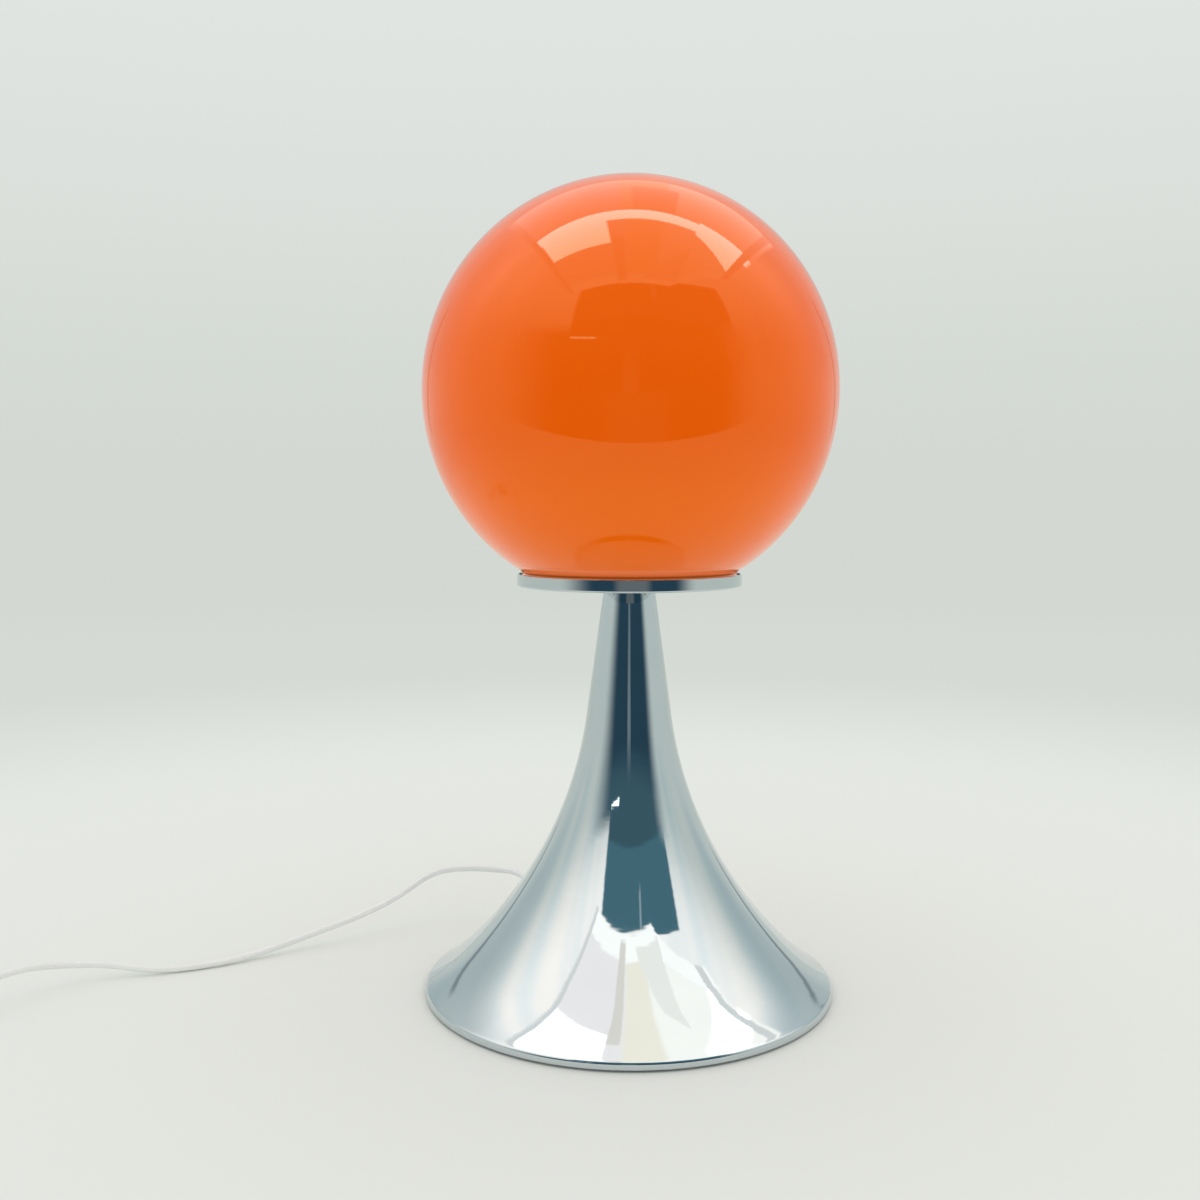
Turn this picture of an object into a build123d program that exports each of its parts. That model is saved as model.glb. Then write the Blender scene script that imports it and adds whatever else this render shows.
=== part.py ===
from build123d import *
from math import acos, atan2, cos, degrees, pi, radians, sin, sqrt, tan
import os

os.makedirs("parts", exist_ok=True)

# A glass globe table lamp: a ball of orange glass on a shallow dish, on a spun trumpet foot.
# Millimetres. The origin is on the table under the middle of the foot, +Z is up,
# -Y is the front, and the lead leaves at the back, turned towards -X.

# ---------------------------------------------------------------- driving dimensions
# foot
cone_length = 64.6       # straight cone under the dish
neck_slope = 7.75        # degrees off vertical
neck_r = 12.47           # outside, directly under the dish
waist_radius = 200.0     # the flare's three arcs, and how many degrees each turns through
waist_turn = 24.0
skirt_radius = 242.0
skirt_turn = 15.5
foot_radius = 54.0
foot_turn = 15.0
skirt_edge_z = 5.2       # where the flare meets the rim
rim_round = 2.2
rim_lift = 0.6           # the metal rim hangs this far above the table
shell_wall = 1.2
pad_thick = 2.0
pad_inset = 1.0
pad_ease = 0.5           # the pad's lower edge
seat_gap = 0.3           # between a part and the curved seat that it rests on
slip = 0.1               # between flat parts that lift apart

# ballast
weight_top_z = 9.5
weight_shoulder_r = 88.0
weight_edge_gap = 0.4    # inside the rim
weight_edge_rise = 2.6   # the edge's height over the rim's lower end
boss_draft = 1.5
boss_r = 24.0
boss_top_z = 28.0
nut_pocket_r = 16.0
nut_pocket_top_z = 19.5
channel_width = 6.4
channel_height = 6.4
slot_width = 8.0
slot_in, slot_out = 36.0, 66.0

# rod, nuts and washers
rod_r = 5.0
rod_bore_r = 3.6
rod_bottom_z = 12.0
rod_end = 5.0            # into the lampholder, past its neck
thread_gap = 0.05
nut_flats = 14.0
nut_thick = 5.0
washer_r = 10.0
washer_thick = 1.2
bush_length = 12.0

# dish under the globe
dish_r = 55.4
dish_depth = 6.1
dish_wall = 1.0
dish_floor = 1.2
dish_round = 1.0
dish_rim_ease = 0.3
lip_room = 1.0           # between the dish's wall and the globe's lip
gasket_thick = 1.0
gasket_width = 4.2
gasket_margin = 0.2      # past the lip

# globe
globe_r = 100.0
glass_wall = 3.0
lip_flare = 1.6          # the lip stands out this far past the ball's mouth
lip_length = 2.9         # straight part of the lip
lip_rise = 1.3           # from there up to the ball
lip_round = 0.8
bore_ease = 0.6

# spring clips
clip_count = 3
clip_width = 8.0
clip_thick = 0.5
clip_bow = 5.0           # the leaf's bulge past its root
clip_foot_length = 10.5
clip_height = 15.0
clip_root_rise = 4.0
clip_bulge_rise = 8.5
clip_tip_out = 1.5
clip_bend = 0.9
rivet_r = 1.5
rivet_head_r = 2.4
rivet_head_thick = 0.8
rivet_tail = 0.5         # below the dish
rivet_shift = 1.0        # inwards from the middle of the clip's foot

# lampholder
holder_r = 20.0
holder_wall = 1.8
holder_neck_r = 9.0
holder_neck_length = 3.4
holder_cone_length = 11.0
cap_height = 29.4
sleeve_height = 30.0
insert_thick = 6.0
insert_gap = 0.3
insert_ease = 0.8
ledge_width = 2.0
sleeve_band = 0.8        # how far the grip band stands out
sleeve_band_low = 6.0
sleeve_band_width = 3.0
sleeve_lip_gap = 1.5     # round the screw shell
screw_shell_r = 13.5     # inside
screw_shell_wall = 0.4
screw_shell_length = 22.0
contact_room = 2.2       # between the posts and the edge of the screw shell's floor
tongue_thick = 0.4
tongue_width = 5.0
tongue_reach = 7.0
terminal_x = 9.5
terminal_size = 6.0
terminal_screw_r = 1.5
clamp_screw_r = 1.0
clamp_screw_length = 4.4
clamp_head_r = 1.9
clamp_head_thick = 1.5
clamp_slot_width = 0.9
clamp_slot_depth = 0.25

# bulb
bulb_cap_r = 13.2
bulb_cap_wall = 0.35
bulb_cap_length = 27.0
bulb_cap_draw = 1.6      # the cap's lower end is drawn in this far
bulb_glass_foot = 8.0    # the glass starts this far up inside the cap
bulb_rise = 3.6          # the bulb's tip above the insert
bulb_r = 30.0
bulb_length = 105.0
bulb_neck_r = 14.4
bulb_wall = 0.8
contact_thick = 1.5
insulator_thick = 4.0
bulb_seat_gap = 0.3
glass_fit = 0.1          # between the bulb's glass and its cap

# lead and its way out of the foot
cord_d = 3.6
exit_slope = 45.5        # the flare's slope at the way out
exit_turn = 30.0         # degrees from the back towards -X
exit_rise = 14.0         # the bush points this far above level
bush_flange_r = 6.2
bush_flange_thick = 1.6
bush_root_r = 4.0
bush_tip_r = 2.6
bush_out = 20.0
bush_in = 9.0
bush_groove = 0.35
bush_collar_r = 4.7
bush_shank_r = 3.2
bush_gap = 0.15          # between the flange or the collar and the wall
bush_collar_thick = 1.4
hole_gap = 0.2
cord_gap = 0.05
rod_bend = 9.0
channel_bend = 40.0

# in-line switch
switch_at = (-383.0, -70.0)
switch_length = 60.0
switch_width = 24.0
switch_height = 15.0
switch_split = 6.5
switch_wall = 1.8
switch_corner = 3.0
switch_inner_corner = 1.2
switch_lower_round = 1.2
switch_upper_round = 2.4
pillar_r = 2.8
lug_thick = 1.8
lug_half = 2.6           # each lug reaches this far below the pin's centre
lug_width = 6.0
cord_way_gap = 0.15
window_margin = 0.4
rocker_r = 9.8
rocker_width = 11.0
rocker_dish = 9.0        # degrees each way from flat
rocker_crown = 5.6
pivot_below_top = 5.4
pivot_r = 1.2
pivot_gap = 0.05
rocker_gap = 0.3
switch_screw_r = 1.3
switch_screw_length = 10.0
switch_head_r = 2.0
switch_head_thick = 1.2
switch_sink_r = 2.3
switch_sink_depth = 1.6

# stored coil
coil_at = (-409.0, -14.0)
coil_outer_r = 26.0
coil_step = 4.6          # between turns
coil_rise = 4.3          # between layers
coil_layers = 4
coil_half_turns = 4      # in each layer, and one more in the lowest
tie_thick = 0.8
tie_width = 6.0
tie_gap = 0.3

# plug
plug_width = 35.3
plug_thick = 13.7
plug_length = 35.0
plug_neck_width = 20.0
plug_boot_length = 16.0
plug_boot_r = 4.4
plug_corner = 4.6
boot_wall = 0.8          # round the lead at the thin end
boot_groove = 0.5
pin_r = 2.0
pin_length = 19.0
pin_pitch = 18.6
pin_sleeve_length = 10.0
pin_sleeve_r = 2.0
pin_core_r = 1.4
pin_root = 8.0           # in the body
pin_dome = 1.0

# sizes that follow from those above
cord_r = cord_d / 2
lip_r = dish_r - dish_wall - lip_room
mouth_r = lip_r - lip_flare              # outside, where the ball narrows to its mouth
bore_r = mouth_r - glass_wall
glass_in_r = globe_r - glass_wall
clip_bulge_r = bore_r - seat_gap
clip_leaf_r = clip_bulge_r - clip_bow
clip_foot_r = clip_leaf_r - clip_foot_length
rivet_place = (clip_foot_r + clip_leaf_r) / 2 - rivet_shift


# ---------------------------------------------------------------- helpers
def profile(*outline):
    """A closed outline of (radius, height) points in the XZ plane, as a face."""
    return make_face(Polyline(*[(r, 0, z) for r, z in outline], close=True))


def turned(*outline):
    """A body of revolution about Z from its half outline."""
    return revolve(profile(*outline), Axis.Z)


def tube(outer, inner, low, high):
    """A round tube, or a disc with a hole, about Z."""
    return turned((inner, low), (outer, low), (outer, high), (inner, high))


def rod(radius, length, centre=(0, 0, 0), along=(0, 0, 1)):
    """A round bar from its start point along a direction."""
    return Plane(centre, z_dir=along) * extrude(Circle(radius), length)


def ring_of(body, count, start=0.0):
    """Copies of a body, spaced evenly round Z, as one group of separate solids."""
    turns = [Rot(0, 0, start + 360 * k / count) * body for k in range(count)]
    return Compound(children=turns)


def hexagon(flats, hole, low, thick):
    """A hexagon nut about Z, with its corners rounded off by a cone at both faces."""
    blank = Pos(0, 0, low) * extrude(RegularPolygon(flats / 2, 6, major_radius=False), thick)
    corner = flats / sqrt(3)
    ease = corner - flats / 2
    cone = turned((0, low), (corner - ease, low), (corner, low + ease * 0.6),
                  (corner, low + thick - ease * 0.6), (corner - ease, low + thick),
                  (0, low + thick))
    return (blank & cone) - rod(hole, thick, (0, 0, low))


def out_at(turn, along, height):
    """A point given by its distance out from the axis, in the upright plane of the lead."""
    return Vector(-along * sin(radians(turn)), along * cos(radians(turn)), height)


def save(name, body):
    """Write one piece, or one group of like pieces, under its own name."""
    export_step(body, f"parts/{name}.step")


# ---------------------------------------------------------------- the flare of the foot
def skin_normal(slope):
    """The outward normal of the flare where it slopes so many degrees from vertical."""
    return Vector(cos(radians(slope)), 0, sin(radians(slope)))


flare_arcs = [(waist_radius, waist_turn), (skirt_radius, skirt_turn), (foot_radius, foot_turn)]


def drop_of_arcs():
    """How far the three arcs of the flare come down together."""
    slope, drop = neck_slope, 0.0
    for radius, turn in flare_arcs:
        drop += radius * (sin(radians(slope + turn)) - sin(radians(slope)))
        slope += turn
    return drop


neck_top_z = skirt_edge_z + drop_of_arcs() + cone_length * cos(radians(neck_slope))


def flare_edges(inset):
    """The flare's profile from the neck to the rim, moved inwards by inset.

    A straight cone, then arcs about centres outside the metal, each starting at the slope
    where the last one ends, and a small round into the upright rim.
    """
    point = Vector(neck_r, 0, neck_top_z)
    down = Vector(sin(radians(neck_slope)), 0, -cos(radians(neck_slope)))
    top = Vector(neck_r - inset / cos(radians(neck_slope)), 0, neck_top_z)
    point += down * cone_length
    edges = [Line(top, point - skin_normal(neck_slope) * inset)]
    slope = neck_slope
    for radius, turn in flare_arcs:
        centre = point + skin_normal(slope) * radius
        places = [centre - skin_normal(slope + turn * share) * (radius + inset)
                  for share in (0, 0.5, 1)]
        edges.append(ThreePointArc(*places))
        slope += turn
        point = centre - skin_normal(slope) * radius
    centre = point - skin_normal(slope) * rim_round
    places = [centre + skin_normal(slope * share) * (rim_round - inset) for share in (1, 0.5, 0)]
    edges.append(ThreePointArc(*places))
    edges.append(Line(places[-1], Vector(places[-1].X, 0, rim_lift)))
    return edges


def flare_point(slope_wanted):
    """The point of the outer skin where the flare has this slope."""
    point = Vector(neck_r, 0, neck_top_z)
    point += Vector(sin(radians(neck_slope)), 0, -cos(radians(neck_slope))) * cone_length
    slope = neck_slope
    for radius, turn in flare_arcs:
        centre = point + skin_normal(slope) * radius
        if slope_wanted <= slope + turn:
            return centre - skin_normal(slope_wanted) * radius
        slope += turn
        point = centre - skin_normal(slope) * radius
    return point


rim_r = (flare_edges(0)[-1] @ 0).X
rim_inside_r = rim_r - shell_wall
exit_point = flare_point(exit_slope)
exit_normal = skin_normal(exit_slope)
exit_along = Vector(cos(radians(exit_rise)), 0, sin(radians(exit_rise)))
to_exit = Rot(0, 0, 90 + exit_turn)      # turns the XZ plane's +X side to the way out


def trumpet_shell():
    """The spun foot, one thin wall, with the hole for the lead."""
    outer = flare_edges(0)
    inner = flare_edges(shell_wall)
    closing = [Line(outer[-1] @ 1, inner[-1] @ 1), Line(outer[0] @ 0, inner[0] @ 0)]
    shell = revolve(make_face(outer + inner + closing), Axis.Z)
    start = exit_point - exit_along * bush_in
    hole = rod(bush_shank_r + hole_gap, bush_in * 2, start, exit_along)
    return shell - to_exit * hole


def base_weight():
    """The cast disc: a boss with a pocket for the nut, and a way for the lead."""
    edge_r = rim_inside_r - weight_edge_gap
    edge_z = rim_lift + weight_edge_rise
    disc = turned((rod_r + seat_gap, pad_thick), (edge_r, pad_thick), (edge_r, edge_z),
                  (weight_shoulder_r, weight_top_z), (boss_r, weight_top_z),
                  (boss_r - boss_draft, boss_top_z), (rod_r + seat_gap, boss_top_z))
    disc -= rod(nut_pocket_r, nut_pocket_top_z - pad_thick, (0, 0, pad_thick))
    channel = Pos(slot_out / 2, 0, pad_thick + channel_height / 2) * Box(
        slot_out, channel_width, channel_height)
    middle = (slot_in + slot_out) / 2
    slot = Pos(middle, 0, pad_thick + weight_top_z / 2) * Box(
        slot_out - slot_in, slot_width, weight_top_z + 2)
    return disc - to_exit * (channel + slot)


def base_pad():
    """The soft disc that the lamp stands on."""
    edge_r = rim_inside_r - pad_inset
    return turned((0, 0), (edge_r - pad_ease, 0), (edge_r, pad_ease), (edge_r, pad_thick),
                  (0, pad_thick))


def neck_bush():
    """The turned plug that centres the rod in the neck of the foot."""
    inner_r = neck_r - (shell_wall + thread_gap) / cos(radians(neck_slope))
    low = neck_top_z - bush_length
    spread = bush_length * tan(radians(neck_slope))
    return turned((rod_r + thread_gap, low), (inner_r + spread, low), (inner_r, neck_top_z),
                  (rod_r + thread_gap, neck_top_z))


# ---------------------------------------------------------------- dish and its fixings
floor_z = neck_top_z + dish_floor
dish_top_z = neck_top_z + dish_depth
stack_z = floor_z + washer_thick
holder_z = stack_z + nut_thick + slip
rod_top_z = holder_z + holder_neck_length + rod_end
nut_low_z = nut_pocket_top_z - washer_thick - nut_thick


def gallery_dish():
    """The shallow dish: a rounded lower edge, a thin bright rim, holes for rod and rivets."""
    rise = dish_top_z
    inner_r = dish_r - dish_wall
    low = [
        Line((rod_r + thread_gap, 0, neck_top_z), (dish_r - dish_round, 0, neck_top_z)),
        ThreePointArc((dish_r - dish_round, 0, neck_top_z),
                      (dish_r - dish_round * (1 - sqrt(0.5)), 0,
                       neck_top_z + dish_round * (1 - sqrt(0.5))),
                      (dish_r, 0, neck_top_z + dish_round)),
        Line((dish_r, 0, neck_top_z + dish_round), (dish_r, 0, rise - dish_rim_ease)),
        Line((dish_r, 0, rise - dish_rim_ease), (dish_r - dish_rim_ease, 0, rise)),
        Line((dish_r - dish_rim_ease, 0, rise), (inner_r, 0, rise)),
        Line((inner_r, 0, rise), (inner_r, 0, floor_z)),
        Line((inner_r, 0, floor_z), (rod_r + thread_gap, 0, floor_z)),
        Line((rod_r + thread_gap, 0, floor_z), (rod_r + thread_gap, 0, neck_top_z)),
    ]
    dish = revolve(make_face(low), Axis.Z)
    hole = rod(rivet_r + thread_gap, dish_floor * 3, (rivet_place, 0, neck_top_z - dish_floor))
    for k in range(clip_count):
        dish -= Rot(0, 0, 90 + 360 * k / clip_count) * hole
    return dish


def clip():
    """One leaf spring: a foot on the dish, a bowed leaf that bears inside the globe's mouth."""
    mid = floor_z + clip_thick / 2
    top = floor_z + clip_height
    bulge = clip_bulge_r - clip_thick / 2
    path = FilletPolyline((clip_foot_r, mid), (clip_leaf_r, mid),
                          (clip_leaf_r, mid + clip_root_rise), (bulge, mid + clip_bulge_rise),
                          (clip_leaf_r + clip_tip_out, top), radius=clip_bend)
    strip = Rot(90, 0, 0) * extrude(trace(path, clip_thick), clip_width / 2, both=True)
    hole = rod(rivet_r + thread_gap, clip_thick * 4, (rivet_place, 0, floor_z - clip_thick))
    return strip - hole


def rivet():
    """One rivet through the foot of a clip and the dish."""
    head_low = floor_z + clip_thick
    return turned((0, neck_top_z - rivet_tail), (rivet_head_r, neck_top_z - rivet_tail),
                  (rivet_head_r, neck_top_z), (rivet_r, neck_top_z), (rivet_r, head_low),
                  (rivet_head_r, head_low), (rivet_head_r * 0.7, head_low + rivet_head_thick),
                  (0, head_low + rivet_head_thick))


def gasket():
    """The soft ring under the globe's lip."""
    return tube(lip_r + gasket_margin, lip_r - gasket_width, floor_z, floor_z + gasket_thick)


# ---------------------------------------------------------------- globe
lip_low_z = floor_z + gasket_thick + slip
mouth_z = lip_low_z + lip_length + lip_rise
globe_z = mouth_z + sqrt(globe_r ** 2 - mouth_r ** 2)


def glass_globe():
    """The blown ball: a sphere in and out, drawn in to a thick lip at the mouth."""
    top = Vector(0, 0, globe_z + globe_r)
    mouth = Vector(mouth_r, 0, mouth_z)
    lean = asin_degrees(mouth_r / globe_r) / 2
    side = Vector(globe_r * cos(radians(lean)), 0, globe_z + globe_r * sin(radians(lean)))
    lip_top = Vector(lip_r, 0, lip_low_z + lip_length)
    throat = Vector(bore_r, 0, globe_z - sqrt(glass_in_r ** 2 - bore_r ** 2))
    inner_side = Vector(glass_in_r * cos(radians(lean)), 0,
                        globe_z + glass_in_r * sin(radians(lean)))
    swell = Vector((mouth_r + lip_r) / 2 - lip_flare * 0.15625, 0,
                   (mouth_z + lip_top.Z) / 2 - lip_rise / 13)
    edge = lip_round * 0.3
    edges = [
        ThreePointArc(top, side, mouth),
        ThreePointArc(mouth, swell, lip_top),
        Line(lip_top, (lip_r, 0, lip_low_z + lip_round)),
        ThreePointArc((lip_r, 0, lip_low_z + lip_round), (lip_r - edge, 0, lip_low_z + edge),
                      (lip_r - lip_round, 0, lip_low_z)),
        Line((lip_r - lip_round, 0, lip_low_z), (bore_r + bore_ease, 0, lip_low_z)),
        Line((bore_r + bore_ease, 0, lip_low_z), (bore_r, 0, lip_low_z + bore_ease)),
        Line((bore_r, 0, lip_low_z + bore_ease), throat),
        ThreePointArc(throat, inner_side, (0, 0, globe_z + glass_in_r)),
        Line((0, 0, globe_z + glass_in_r), top),
    ]
    return revolve(make_face(edges), Axis.Z)


def asin_degrees(share):
    """The angle whose sine is share, in degrees."""
    return 90 - degrees(acos(share))


# ---------------------------------------------------------------- lampholder
insert_top_z = holder_z + cap_height + insert_thick / 2
insert_low_z = insert_top_z - insert_thick
sleeve_low_z = holder_z + cap_height
sleeve_top_z = sleeve_low_z + sleeve_height
holder_bore_r = holder_r - holder_wall
bulb_low_z = insert_top_z + bulb_rise


def lampholder_cap():
    """The lower cup: a neck on the rod, a cone, and a ledge for the insert."""
    cone_z = holder_z + holder_neck_length
    wide_z = cone_z + holder_cone_length
    inner_cone_z = cone_z + holder_wall
    ledge_r = holder_bore_r - ledge_width
    return turned((rod_r + thread_gap, holder_z), (holder_neck_r, holder_z),
                  (holder_neck_r, cone_z), (holder_r, wide_z), (holder_r, sleeve_low_z),
                  (holder_bore_r, sleeve_low_z), (holder_bore_r, insert_low_z),
                  (ledge_r, insert_low_z), (ledge_r, insert_low_z - ledge_width),
                  (holder_bore_r, insert_low_z - 2 * ledge_width),
                  (holder_bore_r, wide_z + holder_wall / 2),
                  (holder_neck_r, inner_cone_z + holder_wall / 2),
                  (rod_r + thread_gap, inner_cone_z + holder_wall / 2))


def lampholder_sleeve():
    """The upper sleeve, with a lip turned in over the screw shell."""
    lip_in = screw_shell_r + screw_shell_wall + sleeve_lip_gap
    band_r = holder_r + sleeve_band
    band_low_z = sleeve_low_z + sleeve_band_low
    band_top_z = band_low_z + sleeve_band_width
    return turned((holder_bore_r, sleeve_low_z), (holder_r, sleeve_low_z),
                  (holder_r, band_low_z), (band_r, band_low_z),
                  (band_r, band_top_z), (holder_r, band_top_z),
                  (holder_r, sleeve_top_z - 1), (holder_r - 1, sleeve_top_z),
                  (lip_in, sleeve_top_z), (lip_in, sleeve_top_z - holder_wall),
                  (holder_bore_r, sleeve_top_z - holder_wall - 1))


def lampholder_insert():
    """The ceramic disc that carries the contacts, with two holes for the terminals' posts."""
    disc = turned((0, insert_low_z), (holder_bore_r - insert_gap, insert_low_z),
                  (holder_bore_r - insert_gap, insert_top_z - insert_ease),
                  (holder_bore_r - insert_gap - insert_ease, insert_top_z), (0, insert_top_z))
    for side in (-1, 1):
        disc -= rod(terminal_screw_r + thread_gap, insert_thick,
                    (side * terminal_x, 0, insert_low_z))
    return disc


def screw_shell():
    """The threaded brass shell that the bulb goes into, shown without its thread."""
    outer = screw_shell_r + screw_shell_wall
    top = insert_top_z + screw_shell_length
    foot = insert_top_z + screw_shell_wall
    return turned((terminal_x + contact_room, insert_top_z), (outer, insert_top_z), (outer, top - 0.5),
                  (outer + 0.4, top), (screw_shell_r + 0.4, top), (screw_shell_r, top - 0.5),
                  (screw_shell_r, foot), (terminal_x + contact_room, foot))


def centre_contact():
    """The sprung tongue under the bulb's tip."""
    low = insert_top_z + tongue_thick / 2
    high = bulb_low_z - bulb_seat_gap - tongue_thick / 2
    bend = tongue_reach * 4 / 7
    path = FilletPolyline((-terminal_x, low), (bend, low), (tongue_reach, low + (high - low) / 2),
                          (bend, high), (-tongue_reach / 2, high), radius=0.5)
    return Rot(90, 0, 0) * extrude(trace(path, tongue_thick), tongue_width / 2, both=True)


def terminals():
    """Two brass blocks under the insert, each with a post up through it."""
    blocks = []
    for side in (-1, 1):
        block = Pos(side * terminal_x, 0, insert_low_z - terminal_size / 2) * Box(
            terminal_size, terminal_size, terminal_size)
        block += rod(terminal_screw_r, insert_thick, (side * terminal_x, 0, insert_low_z))
        mouth = (side * terminal_x, -terminal_size / 2, insert_low_z - terminal_size / 2)
        blocks.append(block - rod(clamp_screw_r + thread_gap, terminal_size / 2, mouth, (0, 1, 0)))
    return Compound(children=blocks)


def terminal_screws():
    """One small cheese-head screw in each terminal block."""
    screws = []
    for side in (-1, 1):
        start = (side * terminal_x, -terminal_size / 2 - clamp_head_thick,
                 insert_low_z - terminal_size / 2)
        screw = rod(clamp_screw_r, clamp_screw_length, start, (0, 1, 0))
        screw += rod(clamp_head_r, clamp_head_thick, start, (0, 1, 0))
        slot = Box(clamp_screw_length, clamp_slot_width, 2 * clamp_slot_depth)
        screws.append(screw - Pos(start) * slot)
    return Compound(children=screws)


# ---------------------------------------------------------------- bulb
bulb_centre_z = bulb_low_z + bulb_length - bulb_r
bulb_cap_top_z = bulb_low_z + bulb_cap_length
insulator_low_z = bulb_low_z + contact_thick
shell_low_z = insulator_low_z + insulator_thick


def bulb_cap():
    """The thin screw cap of the bulb, open at both ends."""
    return turned((bulb_cap_r - bulb_cap_draw, shell_low_z - 0.6), (bulb_cap_r, shell_low_z + 1.2),
                  (bulb_cap_r, bulb_cap_top_z - 1), (bulb_neck_r, bulb_cap_top_z),
                  (bulb_neck_r - bulb_cap_wall, bulb_cap_top_z),
                  (bulb_cap_r - bulb_cap_wall, bulb_cap_top_z - 1),
                  (bulb_cap_r - bulb_cap_wall, shell_low_z + 1.4),
                  (bulb_cap_r - bulb_cap_draw - bulb_cap_wall, shell_low_z - 0.2))


def bulb_insulator():
    """The dark glass cone between the cap and the tip."""
    r = bulb_cap_r - bulb_cap_draw - bulb_cap_wall - thread_gap
    return turned((0, insulator_low_z), (4.4, insulator_low_z), (r - 1.0, shell_low_z - 1.0),
                  (r, shell_low_z - 0.1), (r, shell_low_z + 1.0), (0, shell_low_z + 1.0))


def bulb_tip():
    """The domed contact at the very bottom."""
    return turned((0, bulb_low_z), (2.6, bulb_low_z), (4.2, bulb_low_z + contact_thick * 0.7),
                  (4.2, insulator_low_z), (0, insulator_low_z))


def bulb_envelope():
    """The opal glass: a neck inside the cap, a cone, and a ball, hollow all through."""
    def outline(inset):
        """The neck, the tangent from it to the ball, and the ball, moved in by inset."""
        neck = bulb_neck_r - bulb_cap_wall - glass_fit - inset
        low = bulb_cap_top_z
        radius = bulb_r - inset
        reach = sqrt(neck ** 2 + (bulb_centre_z - low) ** 2)
        lean = atan2(bulb_centre_z - low, neck) - acos(radius / reach)
        touch = Vector(radius * cos(lean), 0, bulb_centre_z - radius * sin(lean))
        half = (pi / 2 - lean) / 2
        side = Vector(radius * cos(half), 0, bulb_centre_z + radius * sin(half))
        throat = bulb_cap_r - bulb_cap_wall - glass_fit - inset
        foot = Vector(throat, 0, shell_low_z + bulb_glass_foot)
        knee = Vector(throat, 0, bulb_cap_top_z - 1)
        start = Vector(neck, 0, low)
        crown = Vector(0, 0, bulb_centre_z + radius)
        return [Line(foot, knee), Line(knee, start), Line(start, touch),
                ThreePointArc(touch, side, crown)]
    outer, inner = outline(0), outline(bulb_wall)
    closing = [Line(outer[0] @ 0, inner[0] @ 0), Line(outer[-1] @ 1, inner[-1] @ 1)]
    return revolve(make_face(outer + inner + closing), Axis.Z)


def bulb_stem():
    """The glass stem that holds the filament, flared at its foot onto the neck."""
    foot_r = bulb_cap_r - bulb_cap_wall - bulb_wall - 2 * glass_fit
    foot_z = shell_low_z + bulb_glass_foot
    return turned((0, foot_z), (foot_r, foot_z), (foot_r, foot_z + 1.2), (5.0, foot_z + 9),
                  (3.2, bulb_cap_top_z + 8), (1.8, bulb_cap_top_z + 12),
                  (1.8, bulb_cap_top_z + 24), (0, bulb_cap_top_z + 24))


def bulb_filament():
    """The wires and filament, one bent wire standing on the stem."""
    top = bulb_cap_top_z + 24
    path = FilletPolyline((-1.0, 0, top), (-1.0, 0, top + 3), (-12, 0, top + 14),
                          (0, 5, top + 17), (12, 0, top + 14), (1.0, 0, top + 3), (1.0, 0, top),
                          radius=1.6)
    return sweep(Plane(path @ 0, z_dir=path % 0) * Circle(0.4), path=path)


# ---------------------------------------------------------------- lead inside the lamp
def strain_relief():
    """The moulded bush: a flange flat on the flare, a tapered tail, a shank through the wall.

    The tail and shank follow the lead, which leaves lower than square to the wall, and
    the flange and the collar inside lie square to the wall and hold it between them.
    """
    seat = exit_point + exit_normal * bush_gap
    flange = rod(bush_flange_r, bush_flange_thick, seat, exit_normal)
    collar_low = exit_point - exit_normal * (shell_wall + bush_gap + bush_collar_thick)
    collar = rod(bush_collar_r, bush_collar_thick, collar_low, exit_normal)
    start = exit_point - exit_along * bush_in
    shank = rod(bush_shank_r, bush_in + 2, start, exit_along)
    tail = Plane(exit_point, z_dir=exit_along) * revolve(tail_outline(), Axis.Z)
    behind = Box(3 * bush_out, 3 * bush_out, 2 * bush_out)
    inward = Plane(seat, z_dir=exit_normal) * Pos(0, 0, -bush_out) * behind
    body = flange + (tail - inward) + shank + collar
    bore = rod(cord_r + cord_gap, bush_in + bush_out + 2, start - exit_along, exit_along)
    return to_exit * (body - bore)


def tail_outline():
    """The tail's taper with even grooves, so that it can bend."""
    count, first = 5, 6.0
    pitch = (bush_out - first - 1.0) / count

    def taper(height):
        return bush_root_r + (bush_tip_r - bush_root_r) * height / bush_out
    points = [(0, 0), (bush_root_r, 0)]
    for k in range(count):
        low = first + k * pitch
        points += [(taper(low), low), (taper(low) - bush_groove, low + 0.3),
                   (taper(low) - bush_groove, low + pitch * 0.45),
                   (taper(low + pitch * 0.5), low + pitch * 0.5 + 0.3)]
    points += [(bush_tip_r, bush_out - 0.3), (bush_tip_r - 0.3, bush_out), (0, bush_out)]
    return profile(*points)


channel_z = pad_thick + channel_height / 2
sheath_top_z = rod_top_z + 1.0
cord_start = exit_point + exit_along * bush_out


def tube_along(name, points, radii, radius=cord_r):
    """A round tube along straight runs and tangent arcs; prints its radii and its volume."""
    path = FilletPolyline(*points, radius=radii) if radii else Line(*points)
    body = sweep(Plane(path @ 0, z_dir=path % 0) * Circle(radius), path=path)
    expected = pi * radius ** 2 * path.length
    print(f"{name}: length {path.length:.1f} mm, radii", [round(r, 1) for r in radii],
          f"volume {body.volume / expected:.4f} of section times length")
    return body


def inner_cord():
    """The sheathed lead inside: through the bush, down to the channel, up the rod."""
    run_down = (cord_start.Z - channel_z) / tan(radians(exit_rise))
    points = [cord_start, (cord_start.X - run_down, 0, channel_z), (0, 0, channel_z),
              (0, 0, sheath_top_z)]
    return to_exit * tube_along("inner_cord", points, [channel_bend, rod_bend])


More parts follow.
